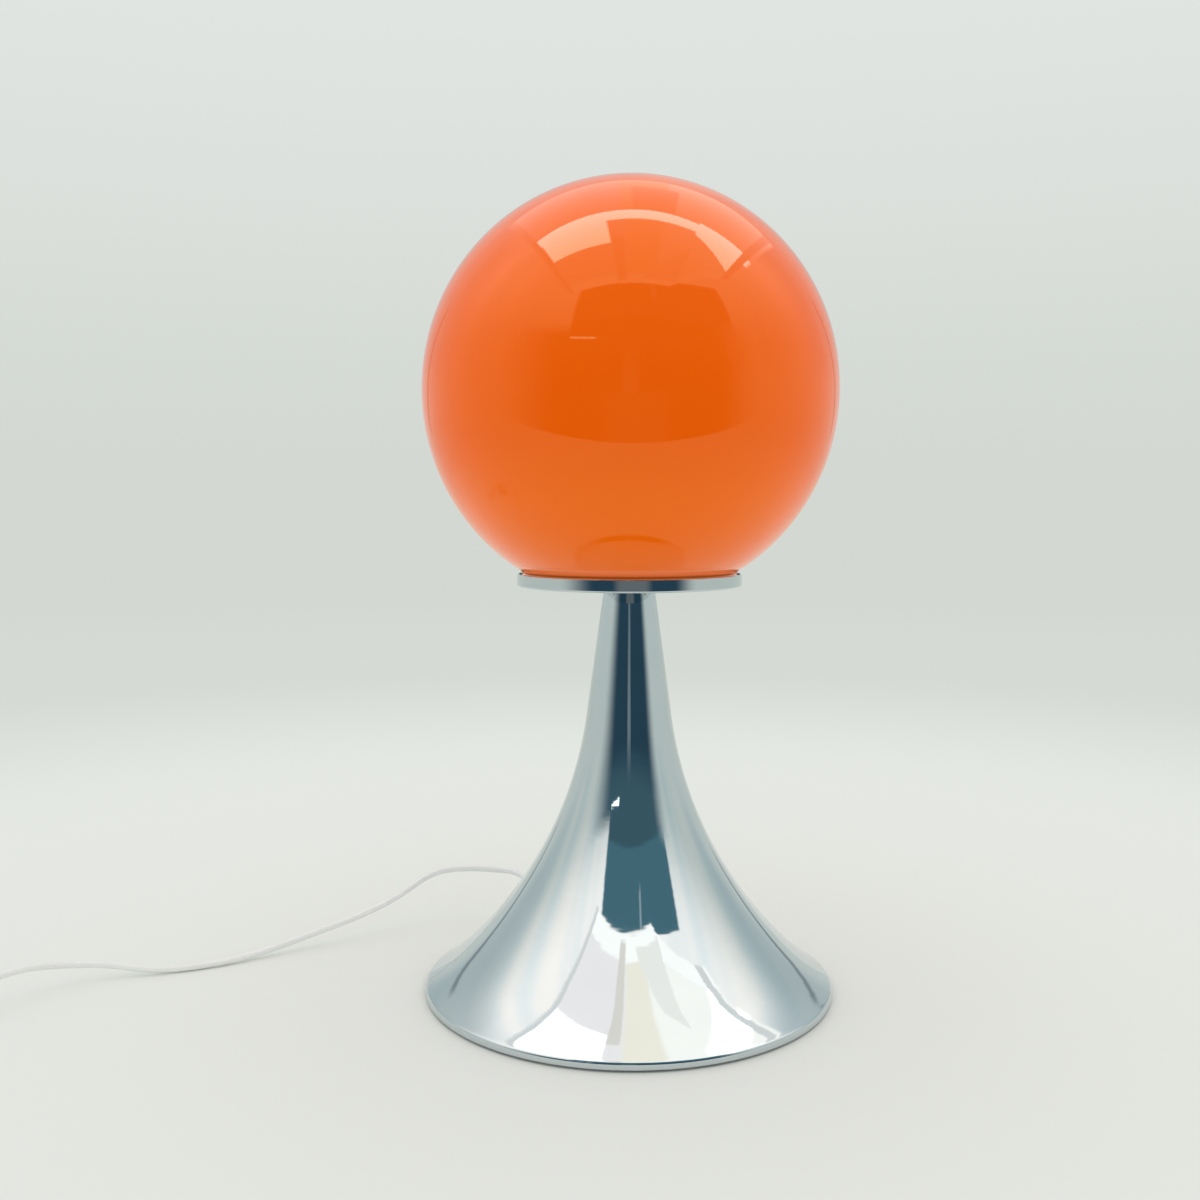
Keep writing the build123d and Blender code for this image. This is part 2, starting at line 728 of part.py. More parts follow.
def holder_leads():
    """The two cores from the end of the sheath to the terminals."""
    lead_r, apart = 0.8, 0.9
    end = insert_low_z - terminal_size
    leads = []
    for side in (-1, 1):
        points = [(side * apart, 0, sheath_top_z), (side * apart, 0, sheath_top_z + 3),
                  (side * terminal_x, 0, end - 3), (side * terminal_x, 0, end)]
        leads.append(tube_along("holder_lead", points, [2.0, 2.0], lead_r))
    return Compound(children=leads)


# ---------------------------------------------------------------- lead outside
def even_radii(points):
    """For each corner, 0.45 of its shorter run over the tangent of half its turn."""
    radii = []
    for a, b, c in zip(points, points[1:], points[2:]):
        before, after = Vector(b) - Vector(a), Vector(c) - Vector(b)
        half = radians(before.get_angle(after)) / 2
        radii.append(0.45 * min(before.length, after.length) / tan(half))
    return radii


switch_z = switch_split
switch_in = (switch_at[0] + switch_length / 2, switch_at[1])
switch_out = (switch_at[0] - switch_length / 2, switch_at[1])

# corners of the loose lead from the bush to the in-line switch, after the first, straight one
first_run = 8.5
run_corners = [
    (-65, 104.5, 29), (-77.5, 108, 29), (-96, 104.5, 31), (-114, 99, 30), (-132.5, 88.5, 18),
    (-152.5, 69, 12.5), (-175.5, 55, 7.5), (-198, 39, 3), (-220, 23, 2), (-248.5, 12.5, 2),
    (-273, 10, 7), (-291.5, -2, 11), (-304.5, -20, 16), (-316, -40, 15.5), (-325, -57.5, 10),
    (-338, -67, 7),
]
switch_grip = 4.0        # the lead reaches this far into each end of the switch
straight_in = 8.0        # and runs straight for this far where it meets a piece


def cord_run():
    """The loose lead from the bush to the switch."""
    start = out_at(exit_turn, cord_start.X, cord_start.Z)
    knee = cord_start + exit_along * first_run
    straight = out_at(exit_turn, knee.X, knee.Z)
    end = (switch_in[0] - switch_grip, switch_in[1], switch_z)
    before = (end[0] + straight_in, end[1], switch_z)
    points = [start, straight] + run_corners + [before, end]
    return tube_along("cord_run", points, even_radii(points))


coil_low_z = tie_thick + tie_gap + cord_r
coil_top_z = coil_low_z + (coil_layers - 1) * coil_rise
coil_start_r = coil_outer_r + coil_step / 2
coil_left = coil_at[0] - coil_start_r


def cord_link():
    """The lead from the switch to the coil: a quarter turn in three even corners."""
    start = (switch_out[0] + switch_grip / 2, switch_at[1], switch_z)
    turn_at, y, low = coil_left + 15.0, switch_at[1], coil_low_z
    corners = [(turn_at, y, switch_z), (turn_at - 9.5, y + 5.5, low + 2.7),
               (coil_left, y + 15, low + 1.5), (coil_left - 0.2, y + 26, low + 0.4),
               (coil_left, y + 39, low)]
    points = [start] + corners + [(coil_left, coil_at[1] - cord_d, low)]
    return tube_along("cord_link", points, even_radii(points))


def arc_between(start, heading, end):
    """An arc that leaves start along heading and ends at end, and the heading it ends with."""
    chord = end - start
    along = heading.normalized()
    half = radians(along.get_angle(chord))
    across = (chord - along * chord.dot(along)).normalized()
    radius = chord.length / 2 / sin(half)
    middle = start + along * (radius * sin(half)) + across * (radius * (1 - cos(half)))
    leaving = along * cos(2 * half) + across * sin(2 * half)
    return ThreePointArc(start, middle, end), leaving, radius


def half_turn(start, heading, end):
    """Two arcs that meet smoothly, from start to end, turning from heading to its opposite."""
    reach = (end - start).length / 2
    joint = ((start + heading * reach) + (end + heading * reach)) / 2
    first, leaving, _ = arc_between(start, heading, joint)
    second, _, _ = arc_between(joint, leaving, end)
    return [first, second]


def coil_path():
    """Half turns clockwise from the side that faces -X, spiralling in and out by layers."""
    radius, height, inwards = coil_start_r, coil_low_z, True
    places = [(radius, height)]
    for layer in range(coil_layers):
        for _ in range(coil_half_turns + (layer == 0)):
            radius += (-coil_step if inwards else coil_step) / 2
            places.append((radius, height))
        if layer < coil_layers - 1:
            height += coil_rise
            places.append((radius, height))
        inwards = not inwards
    edges = []
    for k in range(len(places) - 1):
        side = -1 if k % 2 == 0 else 1
        (r_from, z_from), (r_to, z_to) = places[k], places[k + 1]
        start = Vector(coil_at[0] + side * r_from, coil_at[1], z_from)
        end = Vector(coil_at[0] - side * r_to, coil_at[1], z_to)
        edges += half_turn(start, Vector(0, -side, 0), end)
    first = Vector(coil_left, coil_at[1], coil_low_z)
    last = Vector(coil_at[0] - places[-1][0], coil_at[1], places[-1][1])
    straight = Vector(0, cord_d, 0)
    return [Line(first - straight, first)] + edges + [Line(last, last + straight)]


def least_gap(edges):
    """The least distance between stretches of the coil that aren't neighbours, less the cord."""
    points = [edge @ (k / 12) for edge in edges for k in range(12)]
    apart = 14
    least = min((points[i] - points[j]).length
                for i in range(len(points)) for j in range(i + apart, len(points)))
    return least - cord_d


def cord_coil():
    """The stored lead, one unbroken tube."""
    edges = coil_path()
    path = Wire(edges)
    body = sweep(Plane(path @ 0, z_dir=path % 0) * Circle(cord_r), path=path)
    print(f"cord_coil: length {path.length:.1f} mm, least gap {least_gap(edges):.2f} mm,",
          f"volume {body.volume / (pi * cord_r ** 2 * path.length):.4f} of section times length")
    return body


def coil_tie():
    """The strap round the coil on the side away from the lead's ends."""
    inner_r = coil_outer_r - coil_half_turns * coil_step / 2 - cord_r - tie_gap
    outer_r = coil_start_r + cord_r + tie_gap
    low = coil_low_z - cord_r - tie_gap
    high = coil_top_z + cord_r + tie_gap
    middle = Vector(coil_at[0] + (inner_r + outer_r) / 2, coil_at[1], (low + high) / 2)
    wide, tall = outer_r - inner_r, high - low
    strap = extrude(RectangleRounded(wide + 2 * tie_thick, tall + 2 * tie_thick, 2.0)
                    - RectangleRounded(wide, tall, 1.4), tie_width / 2, both=True)
    return Pos(middle) * Rot(90, 0, 0) * strap


# ---------------------------------------------------------------- in-line switch
pivot_z = switch_height - pivot_below_top
window_low = pivot_below_top - switch_wall - window_margin
rocker_half_window = sqrt(rocker_r ** 2 - window_low ** 2) + rocker_gap


def switch_block(low, high, inset=0.0):
    """The switch's plan, drawn in towards its ends, between two heights."""
    length, width = switch_length / 2 - inset, switch_width / 2 - inset
    plan = make_face(Polyline((-length, -width * 0.62), (-length * 0.55, -width),
                              (length * 0.55, -width), (length, -width * 0.62),
                              (length, width * 0.62), (length * 0.55, width),
                              (-length * 0.55, width), (-length, width * 0.62), close=True))
    plan = fillet(plan.vertices(), switch_corner if inset == 0 else switch_inner_corner)
    return Pos(0, 0, low) * extrude(plan, high - low)


screw_places = [(side * switch_length * 0.3, side * switch_width * 0.28) for side in (1, -1)]


def cord_ways():
    """The round ways for the lead through both ends of the switch."""
    start = (-switch_length / 2 - 1, 0, switch_split)
    return rod(cord_r + cord_way_gap, switch_length + 2, start, (1, 0, 0))


def switch_lower():
    """The lower shell: a tray with two screw pillars."""
    body = switch_block(0, switch_split)
    body = fillet(body.edges().group_by(Axis.Z)[0], switch_lower_round)
    body -= switch_block(switch_wall, switch_split + 1, switch_wall)
    for x, y in screw_places:
        body += rod(pillar_r, switch_split - 0.5, (x, y, 0.5))
        body -= rod(switch_screw_r + 0.2, switch_split, (x, y, 0))
        body -= rod(switch_sink_r, switch_sink_depth, (x, y, 0))
    return at_switch(body - cord_ways())


def switch_upper():
    """The upper shell: a window for the rocker and two lugs for its pin."""
    body = switch_block(switch_split, switch_height)
    body = fillet(body.edges().group_by(Axis.Z)[-1], switch_upper_round)
    body -= switch_block(switch_split - 1, switch_height - switch_wall, switch_wall)
    lug_y = rocker_width / 2 + rocker_gap + lug_thick / 2
    lug_low, lug_high = pivot_z - lug_half, switch_height - switch_wall / 2
    for side in (-1, 1):
        lug = Box(lug_width, lug_thick, lug_high - lug_low)
        body += Pos(0, side * lug_y, (lug_low + lug_high) / 2) * lug
    for x, y in screw_places:
        body += rod(pillar_r, switch_height - switch_wall - switch_split + 0.4, (x, y, switch_split))
        body -= rod(switch_screw_r, 5.0, (x, y, switch_split))
    window = Pos(0, 0, switch_height) * Box(
        2 * rocker_half_window, rocker_width + 2 * rocker_gap, 2 * (switch_wall + window_margin))
    pin_hole = rod(pivot_r + 0.02, switch_width, (0, -switch_width / 2, pivot_z), (0, 1, 0))
    inner = switch_block(switch_split, switch_height, switch_wall)
    return at_switch(body - window - (pin_hole & inner) - cord_ways())


def rocker():
    """The rocker: a drum segment about its pin, its top dished to a shallow V."""
    lean = tan(radians(rocker_dish))
    rise = rocker_crown + rocker_r * lean
    keep = Rot(90, 0, 0) * extrude(
        make_face(Polyline((-rocker_r, -1.0), (rocker_r, -1.0), (rocker_r, rise),
                           (0, rocker_crown), (-rocker_r, rise), close=True)),
        rocker_width / 2, both=True)
    drum = rod(rocker_r, rocker_width, (0, -rocker_width / 2, 0), (0, 1, 0))
    hub = rod(pillar_r, rocker_width, (0, -rocker_width / 2, 0), (0, 1, 0))
    bore = rod(pivot_r + pivot_gap, rocker_width + 2, (0, -rocker_width / 2 - 1, 0), (0, 1, 0))
    body = (drum & keep) + hub - bore
    return at_switch(Pos(0, 0, pivot_z) * Rot(0, rocker_dish, 0) * body)


def rocker_pin():
    """The steel pin through both lugs and the rocker."""
    half = rocker_width / 2 + rocker_gap + lug_thick
    return at_switch(rod(pivot_r, 2 * half, (0, -half, pivot_z), (0, 1, 0)))


def switch_contacts():
    """Two brass strips on the floor of the switch, each rising to a contact."""
    strips = []
    for side in (-1, 1):
        floor = switch_wall + 0.2
        path = FilletPolyline((side * 20.0, floor), (side * 8.5, floor), (side * 6.5, floor + 2.8),
                              (side * 4.0, floor + 2.8), radius=0.6)
        strips.append(Rot(90, 0, 0) * extrude(trace(path, 0.4), 2.0, both=True))
    return at_switch(Compound(children=strips))


def switch_screws():
    """The two screws that close the switch from below."""
    screws = []
    for x, y in screw_places:
        low = (x, y, slip * 3)
        screws.append(rod(switch_head_r, switch_head_thick, low)
                      + rod(switch_screw_r - thread_gap, switch_screw_length, low))
    return at_switch(Compound(children=screws))


def at_switch(body):
    """Places a piece of the switch on the table."""
    return Pos(switch_at[0], switch_at[1], 0) * body


# ---------------------------------------------------------------- plug
plug_x = coil_at[0] - coil_outer_r
plug_front = plug_boot_length + plug_length
plug_z = plug_thick / 2 + 0.1
plug_entry_y = coil_at[1] + 46.0


def plug_body():
    """The flat moulded body, waisted for the grip, with a ribbed boot over the lead."""
    stations = [(0, plug_neck_width, plug_thick - 3.2),
                (plug_length * 0.3, plug_width * 0.78, plug_thick - 1.2),
                (plug_length * 0.62, plug_width * 0.88, plug_thick - 0.5),
                (plug_length * 0.8, plug_width * 0.98, plug_thick),
                (plug_length, plug_width, plug_thick)]
    sections = [Plane((0, plug_boot_length + y, 0), x_dir=(1, 0, 0), z_dir=(0, 1, 0))
                * RectangleRounded(wide, thick, plug_corner) for y, wide, thick in stations]
    boot = [(0, 0)]
    count = 5
    pitch = (plug_boot_length - 1.0) / count
    for k in range(count):
        thin_r = cord_r + boot_wall
        wide = thin_r + (plug_boot_r - thin_r) * (k + 0.5) / count
        boot += [(wide, k * pitch + 0.2), (wide, (k + 0.6) * pitch),
                 (wide - boot_groove, (k + 0.7) * pitch), (wide - boot_groove, (k + 0.95) * pitch)]
    boot += [(plug_boot_r, plug_boot_length - 0.6), (plug_boot_r, plug_boot_length + 1.0),
             (0, plug_boot_length + 1.0)]
    whole = loft(sections) + Rot(-90, 0, 0) * turned(*boot)
    for side in (-1, 1):
        start = (side * pin_pitch / 2, plug_front - pin_root, 0)
        whole -= rod(pin_core_r, pin_root, start, (0, 1, 0))
    return at_plug(whole)


def plug_pins():
    """Two round brass pins, thinner where the sleeves cover them, with domed ends."""
    pins = []
    for side in (-1, 1):
        pin = turned((0, 0.5 - pin_root), (pin_core_r - thread_gap, 0.5 - pin_root),
                     (pin_core_r - thread_gap, pin_sleeve_length),
                     (pin_r, pin_sleeve_length), (pin_r, pin_length - pin_dome),
                     (pin_r - 0.8, pin_length), (0, pin_length))
        pins.append(Pos(side * pin_pitch / 2, plug_front, 0) * Rot(-90, 0, 0) * pin)
    return at_plug(Compound(children=pins))


def pin_sleeves():
    """The insulating sleeves over the inner half of each pin."""
    sleeves = []
    for side in (-1, 1):
        sleeve = tube(pin_sleeve_r, pin_core_r, 0, pin_sleeve_length)
        sleeves.append(Pos(side * pin_pitch / 2, plug_front, 0) * Rot(-90, 0, 0) * sleeve)
    return at_plug(Compound(children=sleeves))


def at_plug(body):
    """Places a piece of the plug on the table, its pins towards +Y."""
    return Pos(plug_x, plug_entry_y, plug_z) * body


def cord_tail():
    """The last of the lead, down from the top of the coil to the plug."""
    leave_y, fall = coil_at[1] + cord_d, coil_top_z - plug_z
    points = [(plug_x, leave_y, coil_top_z), (plug_x, leave_y + 10.4, coil_top_z),
              (plug_x + 0.7, leave_y + 21.4, coil_top_z - fall * 0.49),
              (plug_x, plug_entry_y - 10, plug_z), (plug_x, plug_entry_y, plug_z)]
    return tube_along("cord_tail", points, even_radii(points))


# ---------------------------------------------------------------- write every piece
pieces = {
    "glass_globe": glass_globe(),
    "globe_gasket": gasket(),
    "gallery_dish": gallery_dish(),
    "globe_clips": ring_of(clip(), clip_count, 90),
    "clip_rivets": ring_of(Pos(rivet_place, 0, 0) * rivet(), clip_count, 90),
    "threaded_rod": tube(rod_r, rod_bore_r, rod_bottom_z, rod_top_z),
    "gallery_washer": tube(washer_r, rod_r + thread_gap, floor_z, stack_z),
    "gallery_nut": hexagon(nut_flats, rod_r + thread_gap, stack_z, nut_thick),
    "neck_bush": neck_bush(),
    "trumpet_shell": trumpet_shell(),
    "base_weight": base_weight(),
    "base_washer": tube(washer_r, rod_r + thread_gap, nut_low_z + nut_thick, nut_pocket_top_z),
    "base_nut": hexagon(nut_flats, rod_r + thread_gap, nut_low_z, nut_thick),
    "base_pad": base_pad(),
    "lampholder_cap": lampholder_cap(),
    "lampholder_sleeve": lampholder_sleeve(),
    "lampholder_insert": lampholder_insert(),
    "screw_shell": screw_shell(),
    "centre_contact": centre_contact(),
    "terminal_blocks": terminals(),
    "terminal_screws": terminal_screws(),
    "holder_leads": holder_leads(),
    "bulb_cap": bulb_cap(),
    "bulb_insulator": bulb_insulator(),
    "bulb_tip_contact": bulb_tip(),
    "bulb_envelope": bulb_envelope(),
    "bulb_stem": bulb_stem(),
    "bulb_filament": bulb_filament(),
    "strain_relief": strain_relief(),
    "inner_cord": inner_cord(),
    "cord_run": cord_run(),
    "switch_lower_shell": switch_lower(),
    "switch_upper_shell": switch_upper(),
    "switch_rocker": rocker(),
    "rocker_pin": rocker_pin(),
    "switch_contacts": switch_contacts(),
    "switch_screws": switch_screws(),
    "cord_link": cord_link(),
    "cord_coil": cord_coil(),
    "coil_tie": coil_tie(),
    "cord_tail": cord_tail(),
    "plug_body": plug_body(),
    "plug_pins": plug_pins(),
    "pin_sleeves": pin_sleeves(),
}

for name, body in pieces.items():
    save(name, body)
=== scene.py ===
"""The look of the glass globe table lamp, in metres, in the frame of its CAD part.

The lamp's axis is Z, the table is z = 0, and -Y is the front. Every rigid piece here is a
surface worked out on a grid of two parameters; the leads are single NURBS splines.
"""

from math import atan2, cos, degrees, pi, radians, sin, sqrt

import bpy
import numpy as np
from mathutils import Euler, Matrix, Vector


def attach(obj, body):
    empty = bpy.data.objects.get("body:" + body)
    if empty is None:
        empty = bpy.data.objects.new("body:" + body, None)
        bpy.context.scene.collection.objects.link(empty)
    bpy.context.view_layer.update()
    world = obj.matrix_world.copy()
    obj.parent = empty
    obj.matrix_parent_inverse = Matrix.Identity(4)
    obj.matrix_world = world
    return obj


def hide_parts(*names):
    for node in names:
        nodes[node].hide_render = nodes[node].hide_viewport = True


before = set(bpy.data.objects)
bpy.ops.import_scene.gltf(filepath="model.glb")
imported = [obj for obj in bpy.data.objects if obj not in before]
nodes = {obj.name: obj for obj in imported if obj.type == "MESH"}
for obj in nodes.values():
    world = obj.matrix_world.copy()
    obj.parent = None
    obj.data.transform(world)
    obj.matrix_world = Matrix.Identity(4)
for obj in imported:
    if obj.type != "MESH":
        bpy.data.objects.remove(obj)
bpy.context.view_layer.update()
scene = bpy.context.scene

# ------------------------------------------------------------------ camera
CAMERA_AT = (-0.0145, -0.6264, 0.248)
CAMERA_PITCH = 8.11            # degrees below level
CAMERA_LENS = 38.0             # millimetres on a 36 mm sensor
CAMERA_RISE = 0.0667           # the picture's centre lies above the optical axis

camera_data = bpy.data.cameras.new("camera")
camera_data.lens = CAMERA_LENS
camera_data.sensor_width = 36.0
camera_data.shift_y = CAMERA_RISE
camera = bpy.data.objects.new("camera", camera_data)
camera.location = CAMERA_AT
camera.rotation_euler = Euler((radians(90 - CAMERA_PITCH), 0, 0))
scene.collection.objects.link(camera)
scene.camera = camera

# ------------------------------------------------------------------ the lead
CORD_D = 0.0036
COIL = (-0.409, -0.014)
COIL_OUTER = 0.026
COIL_STEP, COIL_RISE = 0.0046, 0.0043
COIL_LAYERS, COIL_HALF_TURNS = 4, 4
COIL_LOW = 0.0029
COIL_START = COIL_OUTER + COIL_STEP / 2
PLUG_X, PLUG_Y, PLUG_Z = -0.435, 0.032, 0.00695

run_route = [
    (-0.05243, 0.09081, 0.02327), (-0.05655, 0.09795, 0.02533), (-0.065, 0.1045, 0.029),
    (-0.0775, 0.108, 0.029), (-0.096, 0.1045, 0.031), (-0.114, 0.099, 0.030),
    (-0.1325, 0.0885, 0.018), (-0.1525, 0.069, 0.0125), (-0.1755, 0.055, 0.0075),
    (-0.198, 0.039, 0.003), (-0.220, 0.023, 0.002), (-0.2485, 0.0125, 0.002),
    (-0.273, 0.010, 0.007), (-0.2915, -0.002, 0.011), (-0.3045, -0.020, 0.016),
    (-0.316, -0.040, 0.0155), (-0.325, -0.0575, 0.010), (-0.338, -0.067, 0.007),
    (-0.349, -0.070, 0.0065), (-0.357, -0.070, 0.0065),
]
link_route = [
    (-0.411, -0.070, 0.0065), (-0.4223, -0.070, 0.0065), (-0.4318, -0.0645, 0.0056),
    (-0.4373, -0.055, 0.0044), (-0.4375, -0.044, 0.0033), (-0.4373, -0.031, 0.0029),
    (-0.4373, -0.0176, 0.0029),
]
tail_route = [
    (PLUG_X, 0.0, 0.0158), (-0.4343, 0.011, 0.0115), (PLUG_X, 0.022, PLUG_Z),
    (PLUG_X, PLUG_Y, PLUG_Z),
]


def coil_route(per_half=7):
    """The coil's turns, clockwise from the side that faces -X.

    In each half turn the radius and the height go evenly from one value to the next, and the
    points stand a little outside that spiral, at the radius over the cosine of half a step,
    so that the spline through their middles lies on it.
    """
    radii, heights, inwards = [COIL_START], [COIL_LOW], True
    for layer in range(COIL_LAYERS):
        for _ in range(COIL_HALF_TURNS + (layer == 0)):
            radii.append(radii[-1] + (-COIL_STEP if inwards else COIL_STEP) / 2)
            heights.append(heights[-1])
        if layer < COIL_LAYERS - 1:
            radii.append(radii[-1])
            heights.append(heights[-1] + COIL_RISE)
        inwards = not inwards
    turns = np.arange(0.5, (len(radii) - 1) * per_half) / per_half
    radius = np.interp(turns, np.arange(len(radii)), radii) / cos(pi / per_half / 2)
    height = np.interp(turns, np.arange(len(radii)), heights)
    angle = pi - turns * pi
    return [(COIL[0] + r * cos(a), COIL[1] + r * sin(a), z)
            for r, a, z in zip(radius, angle, height)]


def lead(name, route):
    """A round lead: one open NURBS spline of order 3 on its route, with a round bevel.

    The bevel is a circle of radius 1, and each point scales it to the lead's own radius.
    """
    curve = bpy.data.curves.new(name, "CURVE")
    curve.dimensions = "3D"
    spline = curve.splines.new("NURBS")
    spline.points.add(len(route) - 1)
    spline.points.foreach_set("co", [v for point in route for v in (*point, 1.0)])
    spline.points.foreach_set("radius", [CORD_D / 2] * len(route))
    spline.order_u = 3
    spline.use_endpoint_u = True
    spline.resolution_u = 6
    curve.bevel_depth = 1.0
    curve.bevel_resolution = 5
    curve.use_fill_caps = True
    piece = bpy.data.objects.new(name, curve)
    scene.collection.objects.link(piece)
    return piece


lamp_lead = lead("lamp_lead", run_route)
plug_lead = lead("plug_lead", link_route + coil_route() + tail_route)
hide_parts("cord_run")
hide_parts("cord_link", "cord_coil", "cord_tail")
for piece in (lamp_lead, plug_lead):
    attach(piece, "lamp")


# ------------------------------------------------------------------ surfaces
def make_mesh(name, points, faces):
    """A mesh object at the origin, smooth, from an array of points and an array of quads."""
    mesh = bpy.data.meshes.new(name)
    mesh.from_pydata(points.reshape(-1, 3).tolist(), [], faces.tolist())
    mesh.polygons.foreach_set("use_smooth", np.ones(len(mesh.polygons), bool))
    mesh.update()
    piece = bpy.data.objects.new(name, mesh)
    scene.collection.objects.link(piece)
    return piece


def grid_faces(rows, columns, round_rows=False, round_columns=True):
    """Quads between neighbours on a grid, wrapping round where asked."""
    row = np.arange(rows if round_rows else rows - 1)[:, None]
    column = np.arange(columns if round_columns else columns - 1)[None, :]
    below, right = (row + 1) % rows, (column + 1) % columns
    corners = [row * columns + column, row * columns + right,
               below * columns + right, below * columns + column]
    return np.stack(np.broadcast_arrays(*corners), -1).reshape(-1, 4)


def lathe(name, profile, steps=256, closed=True):
    """The surface swept by a profile round Z.

    Point (u, v) is (r(u) cos v, r(u) sin v, z(u)), for the profile's radii r and heights z.
    A closed profile also joins its last point to its first, so the piece is a solid wall.
    """
    radius, height = np.array(profile, float).T
    radius = np.maximum(radius, 1e-6)
    angle = np.arange(steps) * 2 * pi / steps
    points = np.stack([radius[:, None] * np.cos(angle), radius[:, None] * np.sin(angle),
                       np.repeat(height[:, None], steps, 1)], -1)
    return make_mesh(name, points, grid_faces(len(radius), steps, closed)[:, ::-1])


def arc(centre, radius, start, end, count):
    """Points on a circle about centre, from one angle to another in degrees."""
    angle = np.radians(np.linspace(start, end, count))
    return np.stack([centre[0] + radius * np.cos(angle), centre[1] + radius * np.sin(angle)], -1)


def run(start, end, count=2):
    """Points spaced evenly on a straight run."""
    return np.linspace(start, end, count)


# ------------------------------------------------------------------ the foot
NECK_R, NECK_SLOPE, CONE = 0.01247, 7.75, 0.0646
FLARE = [(0.200, 24.0), (0.23347, 14.0), (0.11766, 11.0)]
SKIRT_EDGE_Z = 0.0052
RIM_ROUND, RIM_LIFT = 0.0022, 0.0013
SHELL_WALL = 0.0012
CONE_RINGS, FLARE_RINGS, ROUND_RINGS, EDGE_RINGS = 24, (60, 40, 16), 10, 6


def flare_profile(inset):
    """The foot from the neck to the rim, moved in by inset: a cone, three arcs and a round."""
    slope, drop = NECK_SLOPE, CONE * cos(radians(NECK_SLOPE))
    for radius, turn in FLARE:
        drop += radius * (sin(radians(slope + turn)) - sin(radians(slope)))
        slope += turn
    top = np.array([NECK_R, SKIRT_EDGE_Z + drop])
    along = np.array([sin(radians(NECK_SLOPE)), -cos(radians(NECK_SLOPE))])
    out = np.array([cos(radians(NECK_SLOPE)), sin(radians(NECK_SLOPE))])
    foot = top + along * CONE
    rows = [run(top - np.array([inset / out[0], 0]), foot - out * inset, CONE_RINGS)]
    slope = NECK_SLOPE
    for (radius, turn), count in zip(FLARE, FLARE_RINGS):
        out = np.array([cos(radians(slope)), sin(radians(slope))])
        centre = foot + out * radius
        rows.append(arc(centre, radius + inset, 180 + slope, 180 + slope + turn, count)[1:])
        slope += turn
        foot = centre - np.array([cos(radians(slope)), sin(radians(slope))]) * radius
    centre = foot - np.array([cos(radians(slope)), sin(radians(slope))]) * RIM_ROUND
    rows.append(arc(centre, RIM_ROUND - inset, slope, 0, ROUND_RINGS)[1:])
    rows.append(run(rows[-1][-1], (rows[-1][-1][0], RIM_LIFT), EDGE_RINGS)[1:])
    return np.concatenate(rows)


NECK_TOP = flare_profile(0)[0][1]
foot = lathe("chrome_foot", np.concatenate([flare_profile(0), flare_profile(SHELL_WALL)[::-1]]), 320)

# ------------------------------------------------------------------ the dish
DISH_R, DISH_DEPTH, DISH_WALL, DISH_FLOOR, DISH_ROUND = 0.0554, 0.0061, 0.001, 0.0012, 0.001
DISH_HOLE = 0.00505
FLOOR_Z = NECK_TOP + DISH_FLOOR
DISH_TOP = NECK_TOP + DISH_DEPTH
DISH_EDGE = 0.0003
dish = lathe("chrome_dish", np.concatenate([
    run((DISH_HOLE, NECK_TOP), (DISH_R - DISH_ROUND, NECK_TOP), 12),
    arc((DISH_R - DISH_ROUND, NECK_TOP + DISH_ROUND), DISH_ROUND, -90, 0, 9)[1:],
    run((DISH_R, NECK_TOP + DISH_ROUND + 0.0002), (DISH_R, DISH_TOP - DISH_EDGE - 0.0001), 6),
    arc((DISH_R - DISH_EDGE, DISH_TOP - DISH_EDGE), DISH_EDGE, 0, 90, 6),
    arc((DISH_R - DISH_WALL + DISH_EDGE, DISH_TOP - DISH_EDGE), DISH_EDGE, 90, 180, 6),
    run((DISH_R - DISH_WALL, DISH_TOP - DISH_EDGE - 0.0001), (DISH_R - DISH_WALL, FLOOR_Z + 0.0002), 5),
    run((DISH_R - DISH_WALL - 0.0002, FLOOR_Z), (DISH_HOLE, FLOOR_Z), 12),
]), 320)

# ------------------------------------------------------------------ the globe
GLOBE_R, GLASS_WALL = 0.100, 0.003
MOUTH_R, LIP_R, BORE_R = 0.0518, 0.0534, 0.0488
GASKET, SLIP, LIP_LENGTH = 0.001, 0.0001, 0.0029
LIP_ROUND, BORE_EDGE, SWELL_LENGTH = 0.0008, 0.0006, 0.0013
SWELL_IN = (0.0009, 0.0002)    # how far the swell from mouth to lip is drawn in, times share * (1 - share)
LIP_LOW = FLOOR_Z + GASKET + SLIP
MOUTH_Z = LIP_LOW + LIP_LENGTH + SWELL_LENGTH
GLOBE_Z = MOUTH_Z + sqrt(GLOBE_R ** 2 - MOUTH_R ** 2)
GLASS_IN = GLOBE_R - GLASS_WALL


def globe_profile():
    """The ball from its top down the outside to the lip, and up the inside to the top."""
    mouth = degrees(atan2(MOUTH_Z - GLOBE_Z, MOUTH_R))
    throat = degrees(atan2(-sqrt(GLASS_IN ** 2 - BORE_R ** 2), BORE_R))
    share = np.linspace(0, 1, 8)[1:-1, None]
    swell = np.array([MOUTH_R, MOUTH_Z]) * (1 - share) + np.array([LIP_R, LIP_LOW + LIP_LENGTH]) * share
    swell -= np.array([SWELL_IN]) * (share * (1 - share))
    return np.concatenate([
        arc((0, GLOBE_Z), GLOBE_R, 90, mouth, 150), swell,
        run((LIP_R, LIP_LOW + LIP_LENGTH), (LIP_R, LIP_LOW + LIP_ROUND), 5),
        arc((LIP_R - LIP_ROUND, LIP_LOW + LIP_ROUND), LIP_ROUND, 0, -90, 8)[1:],
        run((LIP_R - LIP_ROUND, LIP_LOW), (BORE_R + BORE_EDGE, LIP_LOW), 5)[1:],
        run((BORE_R, LIP_LOW + BORE_EDGE), (BORE_R, GLOBE_Z + GLASS_IN * sin(radians(throat))), 5),
        arc((0, GLOBE_Z), GLASS_IN, throat, 90, 90)[1:],
    ])


globe = lathe("orange_globe", globe_profile(), 256, closed=False)

